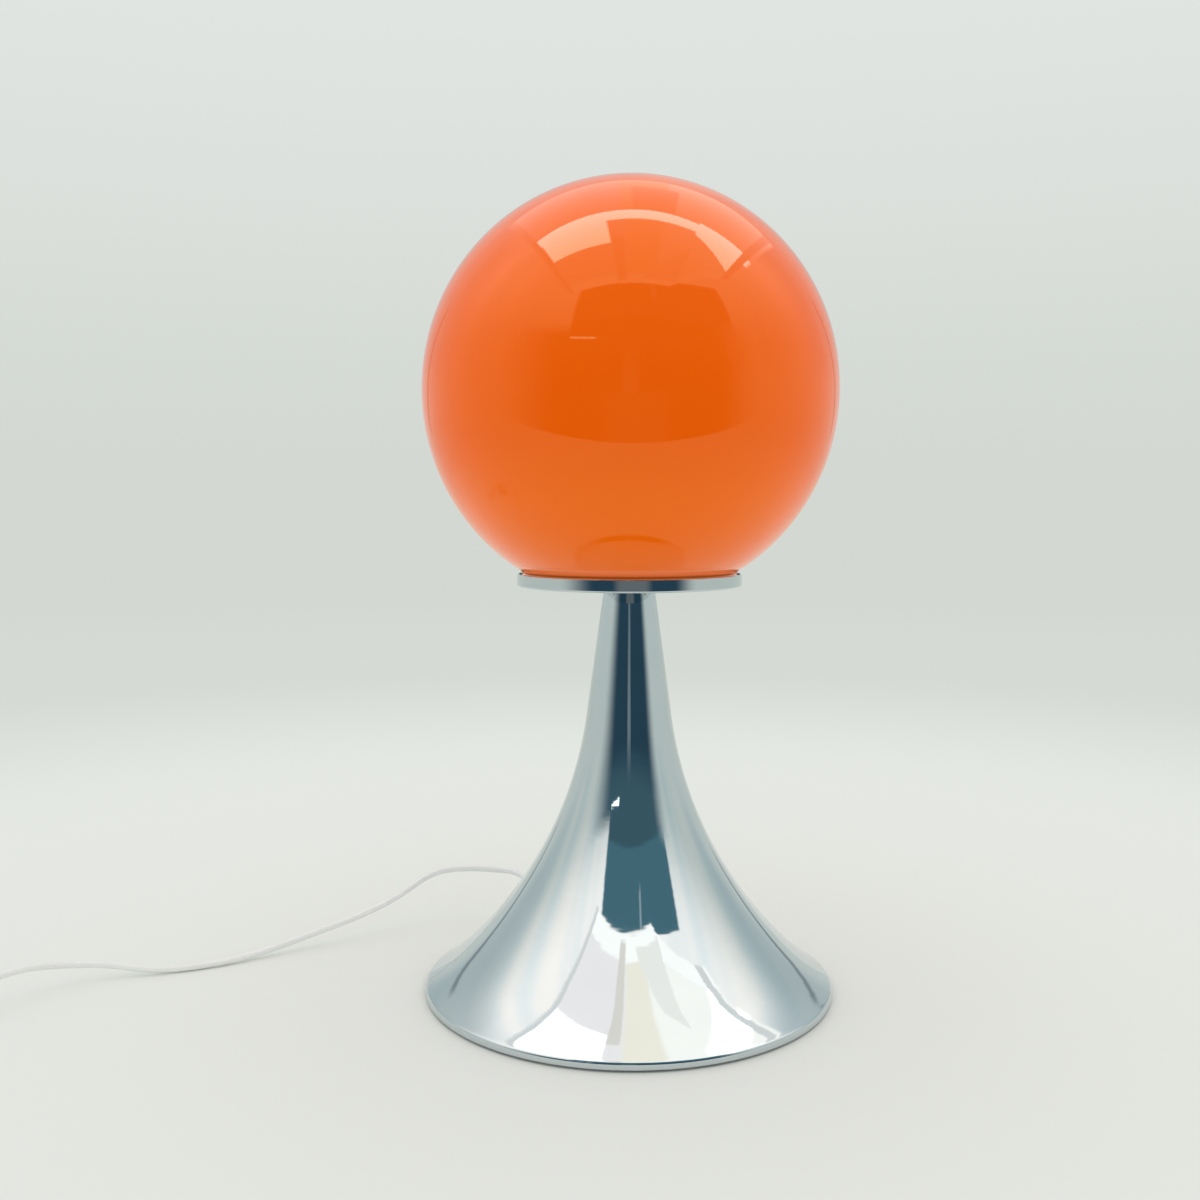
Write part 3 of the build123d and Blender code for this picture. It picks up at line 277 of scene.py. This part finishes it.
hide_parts("trumpet_shell")
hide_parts("gallery_dish")
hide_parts("glass_globe")
for piece, body, slot in ((foot, "lamp", "chrome"), (dish, "lamp", "chrome"),
                          (globe, "globe", "globe_glass")):
    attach(piece, body)


# ------------------------------------------------------------------ node helpers
def join(tree, socket, value):
    """Gives an input socket a link or a plain value."""
    if isinstance(value, bpy.types.NodeSocket):
        tree.links.new(value, socket)
    elif isinstance(value, tuple) and len(value) == 3 and socket.type == "RGBA":
        socket.default_value = (*value, 1)
    else:
        socket.default_value = value


def node(tree, kind, inputs=None, **settings):
    """A node with its settings, and its inputs by name or number."""
    made = tree.nodes.new(kind)
    for key, value in settings.items():
        setattr(made, key, value)
    for key, value in (inputs or {}).items():
        join(tree, made.inputs[key], value)
    return made


def calc(tree, operation, *values):
    """One step of arithmetic on sockets or numbers."""
    return node(tree, "ShaderNodeMath", dict(enumerate(values)), operation=operation).outputs[0]


def between(tree, value, low, high):
    """0 below low and 1 above high, with a smooth step from one to the other."""
    made = node(tree, "ShaderNodeMapRange", {"Value": value, "From Min": low, "From Max": high},
                interpolation_type="SMOOTHSTEP")
    return made.outputs["Result"]


def within(tree, value, low, high, soft):
    """1 from low to high and 0 outside, with soft edges of this width."""
    rising = between(tree, value, calc(tree, "SUBTRACT", low, soft / 2), calc(tree, "ADD", low, soft / 2))
    falling = between(tree, value, calc(tree, "SUBTRACT", high, soft / 2), calc(tree, "ADD", high, soft / 2))
    return calc(tree, "MULTIPLY", rising, calc(tree, "SUBTRACT", 1.0, falling))


def every(tree, *masks):
    """The product of several masks."""
    product = masks[0]
    for mask in masks[1:]:
        product = calc(tree, "MULTIPLY", product, mask)
    return product


def blend(tree, share, first, second, mode="MIX"):
    """A colour between two, by share."""
    made = node(tree, "ShaderNodeMix", data_type="RGBA", blend_type=mode, clamp_factor=True)
    for socket, value in zip((made.inputs[0], made.inputs[6], made.inputs[7]), (share, first, second)):
        join(tree, socket, value)
    return made.outputs[2]


def place(tree):
    """The Object coordinates, and their X, Y and Z."""
    at = node(tree, "ShaderNodeTexCoord").outputs["Object"]
    return (at, *node(tree, "ShaderNodeSeparateXYZ", {0: at}).outputs)


def from_axis(tree, x, y):
    """The distance from the lamp's axis."""
    return calc(tree, "SQRT", calc(tree, "MULTIPLY_ADD", x, x, calc(tree, "MULTIPLY", y, y)))


def group(name, inputs, outputs):
    """An empty node group with float and colour sockets; returns it and its two end nodes."""
    made = bpy.data.node_groups.new(name, "ShaderNodeTree")
    for label, value in inputs.items():
        kind = "NodeSocketColor" if isinstance(value, tuple) else "NodeSocketFloat"
        socket = made.interface.new_socket(name=label, in_out="INPUT", socket_type=kind)
        socket.default_value = (*value, 1) if isinstance(value, tuple) else value
    for label, kind in outputs.items():
        made.interface.new_socket(name=label, in_out="OUTPUT", socket_type=kind)
    return made, made.nodes.new("NodeGroupInput"), made.nodes.new("NodeGroupOutput")


def use(tree, made, **inputs):
    """A group placed in a material, with its own values; underscores stand for spaces."""
    placed = tree.nodes.new("ShaderNodeGroup")
    placed.node_tree = made
    for key, value in inputs.items():
        join(tree, placed.inputs[key.replace("_", " ")], value)
    return placed.outputs


# ------------------------------------------------------------------ effects that finishes share
FLOAT, COLOR = "NodeSocketFloat", "NodeSocketColor"


def shade_by(tree, ins, outs, shade, wander, height):
    """Darkens the group's colour by one share, moves its roughness by another, hands on a height."""
    darker = calc(tree, "MULTIPLY_ADD", calc(tree, "SUBTRACT", shade, 0.5),
                  calc(tree, "MULTIPLY", ins.outputs["Shade"], -4.0), 1.0)
    tint = node(tree, "ShaderNodeCombineColor", {0: darker, 1: darker, 2: darker}).outputs[0]
    join(tree, outs.inputs["Color"], blend(tree, 1.0, ins.outputs["Color"], tint, "MULTIPLY"))
    join(tree, outs.inputs["Roughness"], calc(
        tree, "MULTIPLY_ADD", calc(tree, "SUBTRACT", wander, 0.5),
        calc(tree, "MULTIPLY", ins.outputs["Wander"], 2.0), ins.outputs["Roughness"]))
    join(tree, outs.inputs["Height"], height)


def moulded_effect():
    """Moulded plastic and paint: large patches of shade under a fine grain."""
    tree, ins, outs = group(
        "moulding", {"Color": (0.8, 0.8, 0.8), "Shade": 0.06, "Patch": 30.0, "Grain": 900.0,
                     "Roughness": 0.4, "Wander": 0.08},
        {"Color": COLOR, "Roughness": FLOAT, "Height": FLOAT})
    at = place(tree)[0]
    patches = node(tree, "ShaderNodeTexNoise", {"Vector": at, "Scale": ins.outputs["Patch"],
                                                "Detail": 3.0}).outputs["Fac"]
    grains = node(tree, "ShaderNodeTexNoise", {"Vector": at, "Scale": ins.outputs["Grain"],
                                               "Detail": 2.0}).outputs["Fac"]
    shade_by(tree, ins, outs, patches, grains, grains)
    return tree


def turned_effect():
    """Turned and rolled metal: fine rings round the axis, mixed with clouds."""
    tree, ins, outs = group(
        "turning", {"Color": (0.7, 0.7, 0.7), "Shade": 0.10, "Lines": 2500.0, "Roughness": 0.25,
                    "Wander": 0.12},
        {"Color": COLOR, "Roughness": FLOAT, "Height": FLOAT})
    at, x, y, z = place(tree)
    across = calc(tree, "ADD", calc(tree, "MULTIPLY", from_axis(tree, x, y), 1.3), z)
    marks = node(tree, "ShaderNodeTexNoise", {"W": across, "Scale": ins.outputs["Lines"],
                                              "Detail": 4.0}, noise_dimensions="1D").outputs["Fac"]
    clouds = node(tree, "ShaderNodeTexNoise", {"Vector": at, "Scale": 90.0, "Detail": 3.0}).outputs["Fac"]
    both = calc(tree, "MULTIPLY_ADD", clouds, 0.5, calc(tree, "MULTIPLY", marks, 0.5))
    shade_by(tree, ins, outs, both, both, marks)
    return tree


moulding, turning = moulded_effect(), turned_effect()


# ------------------------------------------------------------------ finishes
def finish(name, roughness=0.5, metallic=0.0, **sockets):
    """A named material with one Principled BSDF; other plain values by socket name."""
    made = bpy.data.materials.new(name)
    made.use_nodes = True
    shader = made.node_tree.nodes["Principled BSDF"]
    shader.inputs["Roughness"].default_value = roughness
    shader.inputs["Metallic"].default_value = metallic
    for key, value in sockets.items():
        shader.inputs[key.replace("_", " ")].default_value = value
    return made, made.node_tree, shader


def bump(tree, shader, height, distance, strength=1.0):
    """Joins a height in metres to a shader's normal."""
    made = node(tree, "ShaderNodeBump", {"Height": height, "Distance": distance, "Strength": strength})
    join(tree, shader.inputs["Normal"], made.outputs["Normal"])


def plastic(name, color, roughness, shade=0.03, grain=1500.0, height=0.000012, patch=25.0,
            wander=0.06, **sockets):
    """A moulded finish: faint patches of shade and a fine moulded grain."""
    made, tree, shader = finish(name, roughness, **sockets)
    out = use(tree, moulding, Color=color, Shade=shade, Patch=patch, Grain=grain,
              Roughness=roughness, Wander=wander)
    join(tree, shader.inputs["Base Color"], out["Color"])
    join(tree, shader.inputs["Roughness"], out["Roughness"])
    bump(tree, shader, out["Height"], height)
    return made


def metal(name, color, roughness, shade=0.08, lines=2500.0, height=0.00001, **sockets):
    """A turned or rolled metal: fine rings round the axis and faint clouds."""
    made, tree, shader = finish(name, roughness, 1.0, **sockets)
    out = use(tree, turning, Color=color, Shade=shade, Lines=lines, Roughness=roughness, Wander=0.08)
    join(tree, shader.inputs["Base Color"], out["Color"])
    join(tree, shader.inputs["Roughness"], out["Roughness"])
    bump(tree, shader, out["Height"], height)
    return made


# Heights of a painted highlight: a paler band just above the globe's mouth.
PAINTED_PALE_HIGH, PAINTED_PALE_LOW = MOUTH_Z + 0.0040, MOUTH_Z + 0.0032
# Heights of a painted shadow: a thin dark line where the glass meets the dish's rim.
SHADOW_LINE_LOW, SHADOW_LINE_HIGH = DISH_TOP + 0.0001, DISH_TOP + 0.0012


def orange_glass():
    """Blown opal glass cased in orange, a little uneven, under a smooth skin.

    It has a painted highlight, a paler band just above the mouth for the light the chrome dish mirrors
    onto it; a thin painted shadow line where it meets the dish; and a painted glow, an emission that
    stands in for the light opal glass lets through, stronger low down.
    """
    made, tree, shader = finish("orange_glass", 0.02, IOR=1.5, Specular_Tint=(1.0, 0.85, 0.30, 1.0),
                                Coat_Weight=0.20, Coat_Roughness=0.02, Emission_Strength=1.0)
    at, x, y, z = place(tree)
    drift = node(tree, "ShaderNodeTexNoise", {"Vector": at, "Scale": 9.0, "Detail": 2.0}).outputs["Fac"]
    colour = blend(tree, drift, (0.98, 0.122, 0.0004), (1.0, 0.138, 0.0008))
    # Painted highlight: a paler band just above the mouth stands in for the light the chrome dish mirrors
    # onto the glass.
    painted_pale = between(tree, z, PAINTED_PALE_HIGH, PAINTED_PALE_LOW)
    colour = blend(tree, painted_pale, colour, (1.0, 0.25, 0.11))
    # Painted shadow: a thin dark line where the glass meets the dish stands in for the shade in the gap
    # there.
    painted_shadow_line = within(tree, z, SHADOW_LINE_LOW, SHADOW_LINE_HIGH, 0.0006)
    join(tree, shader.inputs["Base Color"], blend(tree, painted_shadow_line, colour, (0.30, 0.08, 0.03)))
    # Painted glow: the glass is no lamp, and this emission stands in for the light opal glass lets through,
    # stronger low down.
    painted_glow = blend(tree, between(tree, z, GLOBE_Z - 0.02, GLOBE_Z - 0.06), (0.07, 0.009, 0.0),
                 (0.12, 0.030, 0.0))
    join(tree, shader.inputs["Emission Color"], painted_glow)
    flow = node(tree, "ShaderNodeTexNoise", {"Vector": at, "Scale": 22.0, "Detail": 1.0}).outputs["Fac"]
    bump(tree, shader, flow, 0.00018)
    return made


def chrome_plate():
    """Bright plate on spun metal: near a mirror, with faint waves round it from the spinning."""
    made, tree, shader = finish("chrome_plate", 0.035, 1.0)
    at = place(tree)[0]
    turn = node(tree, "ShaderNodeMapping", {"Vector": at, "Scale": (1.0, 1.0, 2.6)}).outputs[0]
    cloud = node(tree, "ShaderNodeTexNoise", {"Vector": turn, "Scale": 30.0, "Detail": 3.0}).outputs["Fac"]
    join(tree, shader.inputs["Base Color"],
         blend(tree, cloud, (0.60, 0.66, 0.68), (0.64, 0.70, 0.72)))
    join(tree, shader.inputs["Roughness"], calc(tree, "MULTIPLY_ADD", cloud, 0.05, 0.012))
    wave = node(tree, "ShaderNodeTexNoise", {"Vector": turn, "Scale": 48.0, "Detail": 2.0}).outputs["Fac"]
    bump(tree, shader, wave, 0.00005)
    return made


def lead_sheath():
    """Soft white plastic of the lead: satin, very slightly uneven along its length."""
    return plastic("lead_sheath", (0.80, 0.82, 0.80), 0.40, 0.03, 2600.0, 0.00001, 45.0, 0.08,
                   Coat_Weight=0.15, Coat_Roughness=0.3)


def cast_iron():
    """Black-painted casting: coarse sand grain under satin paint."""
    return plastic("painted_casting", (0.035, 0.036, 0.038), 0.55, 0.10, 520.0, 0.00012, 60.0, 0.12)


def pressed_felt():
    """The soft pad under the foot: a short felted nap."""
    made, tree, shader = finish("pressed_felt", 0.9, Sheen_Weight=0.25, Sheen_Roughness=0.5)
    at = place(tree)[0]
    fibre = node(tree, "ShaderNodeTexVoronoi", {"Vector": at, "Scale": 1100.0}).outputs["Distance"]
    cloud = node(tree, "ShaderNodeTexNoise", {"Vector": at, "Scale": 70.0, "Detail": 4.0}).outputs["Fac"]
    colour = blend(tree, cloud, (0.012, 0.012, 0.014), (0.030, 0.030, 0.033))
    join(tree, shader.inputs["Base Color"], blend(tree, calc(tree, "MULTIPLY", fibre, 0.5), colour,
                                                   (0.055, 0.055, 0.060)))
    bump(tree, shader, fibre, 0.00025)
    return made


def clear_glass():
    """The stem inside the bulb."""
    made, tree, shader = finish("stem_glass", 0.02, Transmission_Weight=1.0, IOR=1.5)
    at = place(tree)[0]
    flow = node(tree, "ShaderNodeTexNoise", {"Vector": at, "Scale": 160.0}).outputs["Fac"]
    join(tree, shader.inputs["Base Color"], blend(tree, flow, (0.90, 0.95, 0.94), (0.97, 0.99, 0.98)))
    return made


finishes = {
    "globe_glass": orange_glass(),
    "chrome": chrome_plate(),
    "cord_white": lead_sheath(),
    "soft_rubber": plastic("gasket_rubber", (0.020, 0.020, 0.021), 0.65, 0.08, 900.0, 0.00003),
    "spring_steel": metal("spring_steel", (0.55, 0.56, 0.58), 0.28, 0.08, 1800.0),
    "zinc_steel": metal("zinc_plate", (0.62, 0.64, 0.67), 0.34, 0.10, 1500.0),
    "brass": metal("turned_brass", (0.80, 0.58, 0.24), 0.24, 0.08, 2200.0),
    "cast_iron": cast_iron(),
    "foot_pad": pressed_felt(),
    "holder_plastic": plastic("holder_plastic", (0.012, 0.012, 0.013), 0.38, 0.08, 1300.0, 0.00002),
    "ceramic": plastic("steatite", (0.74, 0.70, 0.60), 0.55, 0.05, 800.0, 0.00003),
    "core_insulation": plastic("core_insulation", (0.22, 0.10, 0.045), 0.45, 0.05),
    "bulb_metal": metal("bulb_cap_metal", (0.78, 0.78, 0.79), 0.22, 0.06, 3000.0),
    "black_glass": plastic("black_glass", (0.010, 0.010, 0.013), 0.08, 0.05, 300.0, 0.00001),
    "opal_glass": plastic("opal_glass", (0.84, 0.83, 0.79), 0.12, 0.015, 250.0, 0.000015, 12.0,
                          Coat_Weight=0.3, Coat_Roughness=0.05),
    "clear_glass": clear_glass(),
    "switch_white": plastic("switch_plastic", (0.79, 0.79, 0.765), 0.26, 0.02, 1700.0, 0.000012,
                            18.0, Coat_Weight=0.2, Coat_Roughness=0.15),
    "tie_grey": plastic("tie_strap", (0.27, 0.28, 0.28), 0.6, 0.08, 1900.0, 0.00004),
    "nickel_pins": metal("nickel_pins", (0.72, 0.69, 0.63), 0.20, 0.06, 2600.0),
    "black_sleeve": plastic("pin_sleeve", (0.014, 0.014, 0.016), 0.30, 0.06, 1500.0, 0.00001),
}


def paint(piece, made):
    """Gives a piece this material alone."""
    piece.data.materials.clear()
    piece.data.materials.append(made)


slots = {
    "globe_glass": ["glass_globe"],
    "chrome": ["trumpet_shell", "gallery_dish"],
    "cord_white": ["strain_relief", "inner_cord", "cord_run", "cord_link", "cord_coil", "cord_tail"],
    "soft_rubber": ["globe_gasket"],
    "spring_steel": ["globe_clips", "bulb_filament"],
    "zinc_steel": ["clip_rivets", "threaded_rod", "gallery_washer", "gallery_nut", "base_washer",
                   "base_nut", "terminal_screws", "rocker_pin", "switch_screws"],
    "brass": ["neck_bush", "screw_shell", "centre_contact", "terminal_blocks", "bulb_tip_contact",
              "switch_contacts"],
    "cast_iron": ["base_weight"],
    "foot_pad": ["base_pad"],
    "holder_plastic": ["lampholder_cap", "lampholder_sleeve"],
    "ceramic": ["lampholder_insert"],
    "core_insulation": ["holder_leads"],
    "bulb_metal": ["bulb_cap"],
    "black_glass": ["bulb_insulator"],
    "opal_glass": ["bulb_envelope"],
    "clear_glass": ["bulb_stem"],
    "switch_white": ["switch_lower_shell", "switch_upper_shell", "switch_rocker", "plug_body"],
    "tie_grey": ["coil_tie"],
    "nickel_pins": ["plug_pins"],
    "black_sleeve": ["pin_sleeves"],
}
for slot, names in slots.items():
    for name in names:
        if name in nodes:
            paint(nodes[name], finishes[slot])
paint(globe, finishes["globe_glass"])
paint(foot, finishes["chrome"])
paint(dish, finishes["chrome"])
paint(lamp_lead, finishes["cord_white"])
paint(plug_lead, finishes["cord_white"])

# ------------------------------------------------------------------ studio
NAVY, DUSK, TEAL = (0.026, 0.066, 0.102), (0.060, 0.128, 0.168), (0.082, 0.195, 0.250)
WALL_COLOR, WALL_HIGH = (0.650, 0.690, 0.643), (0.755, 0.785, 0.765)
PLAIN_LIGHT = (1.0, 1.0, 1.0)
BAND_LIGHT, RIM_LIGHT = (4.6, 5.2, 5.8), (1.52, 1.46, 1.40)
BAR_COLOR, BLOCK_COLOR, SIDE_COLOR = (1.05, 0.97, 0.88), (1.27, 1.20, 1.12), (0.96, 0.94, 0.92)


def turn_to_front(tree, x, y):
    """The angle round Z in degrees, 0 towards -Y and positive towards +X."""
    return calc(tree, "DEGREES", calc(tree, "ARCTAN2", x, calc(tree, "MULTIPLY", y, -1.0)))


def open_front(tree, turn):
    """1 across the dark opening in front of the lamp, fading out at each side."""
    return every(tree, between(tree, turn, -76.0, -36.0), between(tree, turn, 70.0, 44.0))


def pale_walls(tree, turn, rise):
    """The tent's walls: brighter higher up, dimmer behind, in soft folds, a dark seam at each side."""
    side = calc(tree, "ABSOLUTE", turn)
    wall = blend(tree, between(tree, rise, 16.0, 48.0), (0.66, 0.71, 0.68), (1.38, 1.29, 1.23))
    behind = every(tree, between(tree, side, 102.0, 128.0), between(tree, rise, 3.0, 12.0),
                   between(tree, rise, 62.0, 40.0), 0.75)
    wall = blend(tree, behind, wall, (0.52, 0.58, 0.59))
    folds = node(tree, "ShaderNodeTexNoise", {"W": turn, "Scale": 0.045, "Detail": 1.0},
                 noise_dimensions="1D").outputs["Fac"]
    tint = blend(tree, between(tree, folds, 0.30, 0.70), (0.89, 0.95, 0.98), (1.07, 1.04, 1.02))
    wall = blend(tree, between(tree, rise, 4.0, 14.0), wall, blend(tree, 1.0, wall, tint, "MULTIPLY"))
    middle = calc(tree, "MULTIPLY_ADD", rise, -0.4, 146.0)
    seam = every(tree, within(tree, calc(tree, "SUBTRACT", side, middle), -0.9, 0.9, 1.4),
                 within(tree, rise, -3.0, 21.0, 6.0))
    return blend(tree, seam, wall, (0.28, 0.33, 0.35))


def dark_room(tree, turn, rise):
    """What the opening shows, and its mask: navy below, teal above, a post, a slit and a lamp."""
    square = calc(tree, "MULTIPLY", turn, turn)
    dark = blend(tree, between(tree, rise, 9.0, 22.0), NAVY, DUSK)
    lintel = calc(tree, "MULTIPLY_ADD", square, -0.0030, 34.0)
    dark = blend(tree, between(tree, calc(tree, "SUBTRACT", rise, lintel), 0.0, 2.0), dark, TEAL)
    post = every(tree, within(tree, turn, -5.0, 3.0, 2.5), between(tree, rise, 22.0, 6.0))
    dark = blend(tree, post, dark, (0.20, 0.26, 0.28))
    slit = every(tree, within(tree, turn, 13.0, 15.5, 1.0), within(tree, rise, 44.0, 53.0, 5.0))
    dark = blend(tree, slit, dark, (0.35, 0.45, 0.50))
    glint = every(tree, within(tree, turn, -34.0, -20.0, 1.0), within(tree, rise, 23.4, 24.4, 0.3))
    dark = blend(tree, glint, dark, (2.4, 2.7, 2.6))
    top = calc(tree, "MULTIPLY_ADD", square, -0.0026, 54.5)
    under = between(tree, calc(tree, "SUBTRACT", rise, top), 0.0, -0.6)
    low, high = open_front(tree, turn), within(tree, turn, -35.0, 58.5, 3.0)
    across = node(tree, "ShaderNodeMix", {0: between(tree, rise, 24.0, 31.0), 2: low, 3: high}).outputs[0]
    return dark, every(tree, across, under)


def ceiling_panel(tree, x, y, z):
    """The flat panel overhead and its mask.

    A direction (x, y, z) meets it at u = x/z and v = -y/z times its height, and its bars and
    bands are rectangles there.
    """
    up = calc(tree, "MAXIMUM", z, 0.05)
    u = calc(tree, "DIVIDE", x, up)
    v = calc(tree, "DIVIDE", calc(tree, "MULTIPLY", y, -1.0), up)
    slant = calc(tree, "MULTIPLY_ADD", calc(tree, "SUBTRACT", u, 0.37), -0.96, 0.75)
    front = calc(tree, "MINIMUM", 0.75, slant)
    mask = every(tree, within(tree, v, -1.1, front, 0.02), within(tree, u, -0.66, 0.92, 0.05),
                 between(tree, z, 0.30, 0.34))
    panel = blend(tree, between(tree, u, -0.10, 0.24), (1.28, 1.18, 1.16), (1.45, 1.38, 1.29))
    panel = blend(tree, within(tree, u, -0.03, 0.20, 0.05), panel, (1.31, 1.20, 1.02))
    right_low = calc(tree, "MULTIPLY_ADD", calc(tree, "SUBTRACT", u, 0.41), 0.64, -0.05)
    wedge = calc(tree, "MULTIPLY_ADD", calc(tree, "SUBTRACT", v, 0.18), -0.667, 0.41)

    def patch(left, right, low, high, soft=0.015):
        """A rectangle on the panel, with edges of this softness along u."""
        return every(tree, within(tree, u, left, right, soft), within(tree, v, low, high, 0.02))

    band = calc(tree, "MAXIMUM", within(tree, v, -0.22, -0.09, 0.02), calc(
        tree, "MAXIMUM", patch(-0.60, -0.14, -0.19, 0.20, 0.02), patch(0.41, 0.82, -0.25, right_low, 0.02)))
    rim = within(tree, v, calc(tree, "SUBTRACT", front, 0.14), front, 0.02)
    bars = calc(tree, "MAXIMUM", patch(-0.13, -0.05, 0.14, 0.70), patch(0.02, 0.25, -0.75, -0.24))
    sides = calc(tree, "MAXIMUM", within(tree, u, -0.68, -0.61, 0.02), within(tree, u, 0.80, 0.88, 0.02))
    block = patch(wedge, 0.43, 0.16, 0.67)
    for shape, color in ((band, BAND_LIGHT), (rim, RIM_LIGHT), (bars, BAR_COLOR),
                         (block, BLOCK_COLOR), (sides, SIDE_COLOR)):
        panel = blend(tree, shape, panel, color)
    return panel, mask


def studio_light():
    """Plain soft light all round; gloss mirrors a pale tent with a dark opening in front."""
    world = bpy.data.worlds.new("studio")
    scene.world = world
    world.use_nodes = True
    tree = world.node_tree
    at = node(tree, "ShaderNodeTexCoord").outputs["Generated"]
    x, y, z = node(tree, "ShaderNodeSeparateXYZ", {0: at}).outputs
    turn = turn_to_front(tree, x, y)
    rise = calc(tree, "DEGREES", calc(tree, "ARCSINE", z))
    room, in_room = dark_room(tree, turn, rise)
    panel, in_panel = ceiling_panel(tree, x, y, z)
    tent = blend(tree, in_room, pale_walls(tree, turn, rise), room)
    tent = blend(tree, in_panel, tent, panel)

    backdrop = blend(tree, between(tree, rise, 0.0, 22.0), WALL_COLOR, WALL_HIGH)
    rays = node(tree, "ShaderNodeLightPath").outputs
    mirrored = calc(tree, "MAXIMUM", rays["Is Glossy Ray"], rays["Is Transmission Ray"])
    ground = tree.nodes["Background"]
    ground.inputs["Strength"].default_value = 1.0
    join(tree, ground.inputs["Color"], blend(tree, rays["Is Camera Ray"],
                                             blend(tree, mirrored, PLAIN_LIGHT, tent), backdrop))

studio_light()


def floor_paint():
    """The pale table top: it fades to the tone of the wall away from the lamp.

    Where metal and glass mirror it, its front edge is near and the dark room lies past it.
    """
    made, tree, shader = finish("floor_paint", 0.9, Specular_IOR_Level=0.0)
    at, x, y, z = place(tree)
    reach = from_axis(tree, x, y)
    near = blend(tree, between(tree, reach, 0.45, 1.25), FLOOR_COLOR, FAR_COLOR)
    far = blend(tree, between(tree, reach, 1.0, 2.8), near, WALL_COLOR)
    turn = turn_to_front(tree, x, y)
    seen = node(tree, "ShaderNodeLightPath").outputs["Is Camera Ray"]
    hidden = every(tree, between(tree, y, -0.58, -0.60), open_front(tree, turn),
                   calc(tree, "SUBTRACT", 1.0, seen))
    beyond = blend(tree, within(tree, turn, -14.0, 18.0, 10.0), NAVY, (0.17, 0.19, 0.20))
    join(tree, shader.inputs["Base Color"], blend(tree, hidden, far, beyond))
    return made


FLOOR_COLOR = (0.790, 0.822, 0.781)
FAR_COLOR = (0.672, 0.705, 0.665)
FLOOR_HALF = 6.0
floor = make_mesh("floor", np.array([(-FLOOR_HALF, -FLOOR_HALF, 0), (FLOOR_HALF, -FLOOR_HALF, 0),
                                     (FLOOR_HALF, FLOOR_HALF, 0), (-FLOOR_HALF, FLOOR_HALF, 0)]),
                  np.array([(0, 1, 2, 3)]))
paint(floor, floor_paint())

scene.view_settings.view_transform = "Standard"
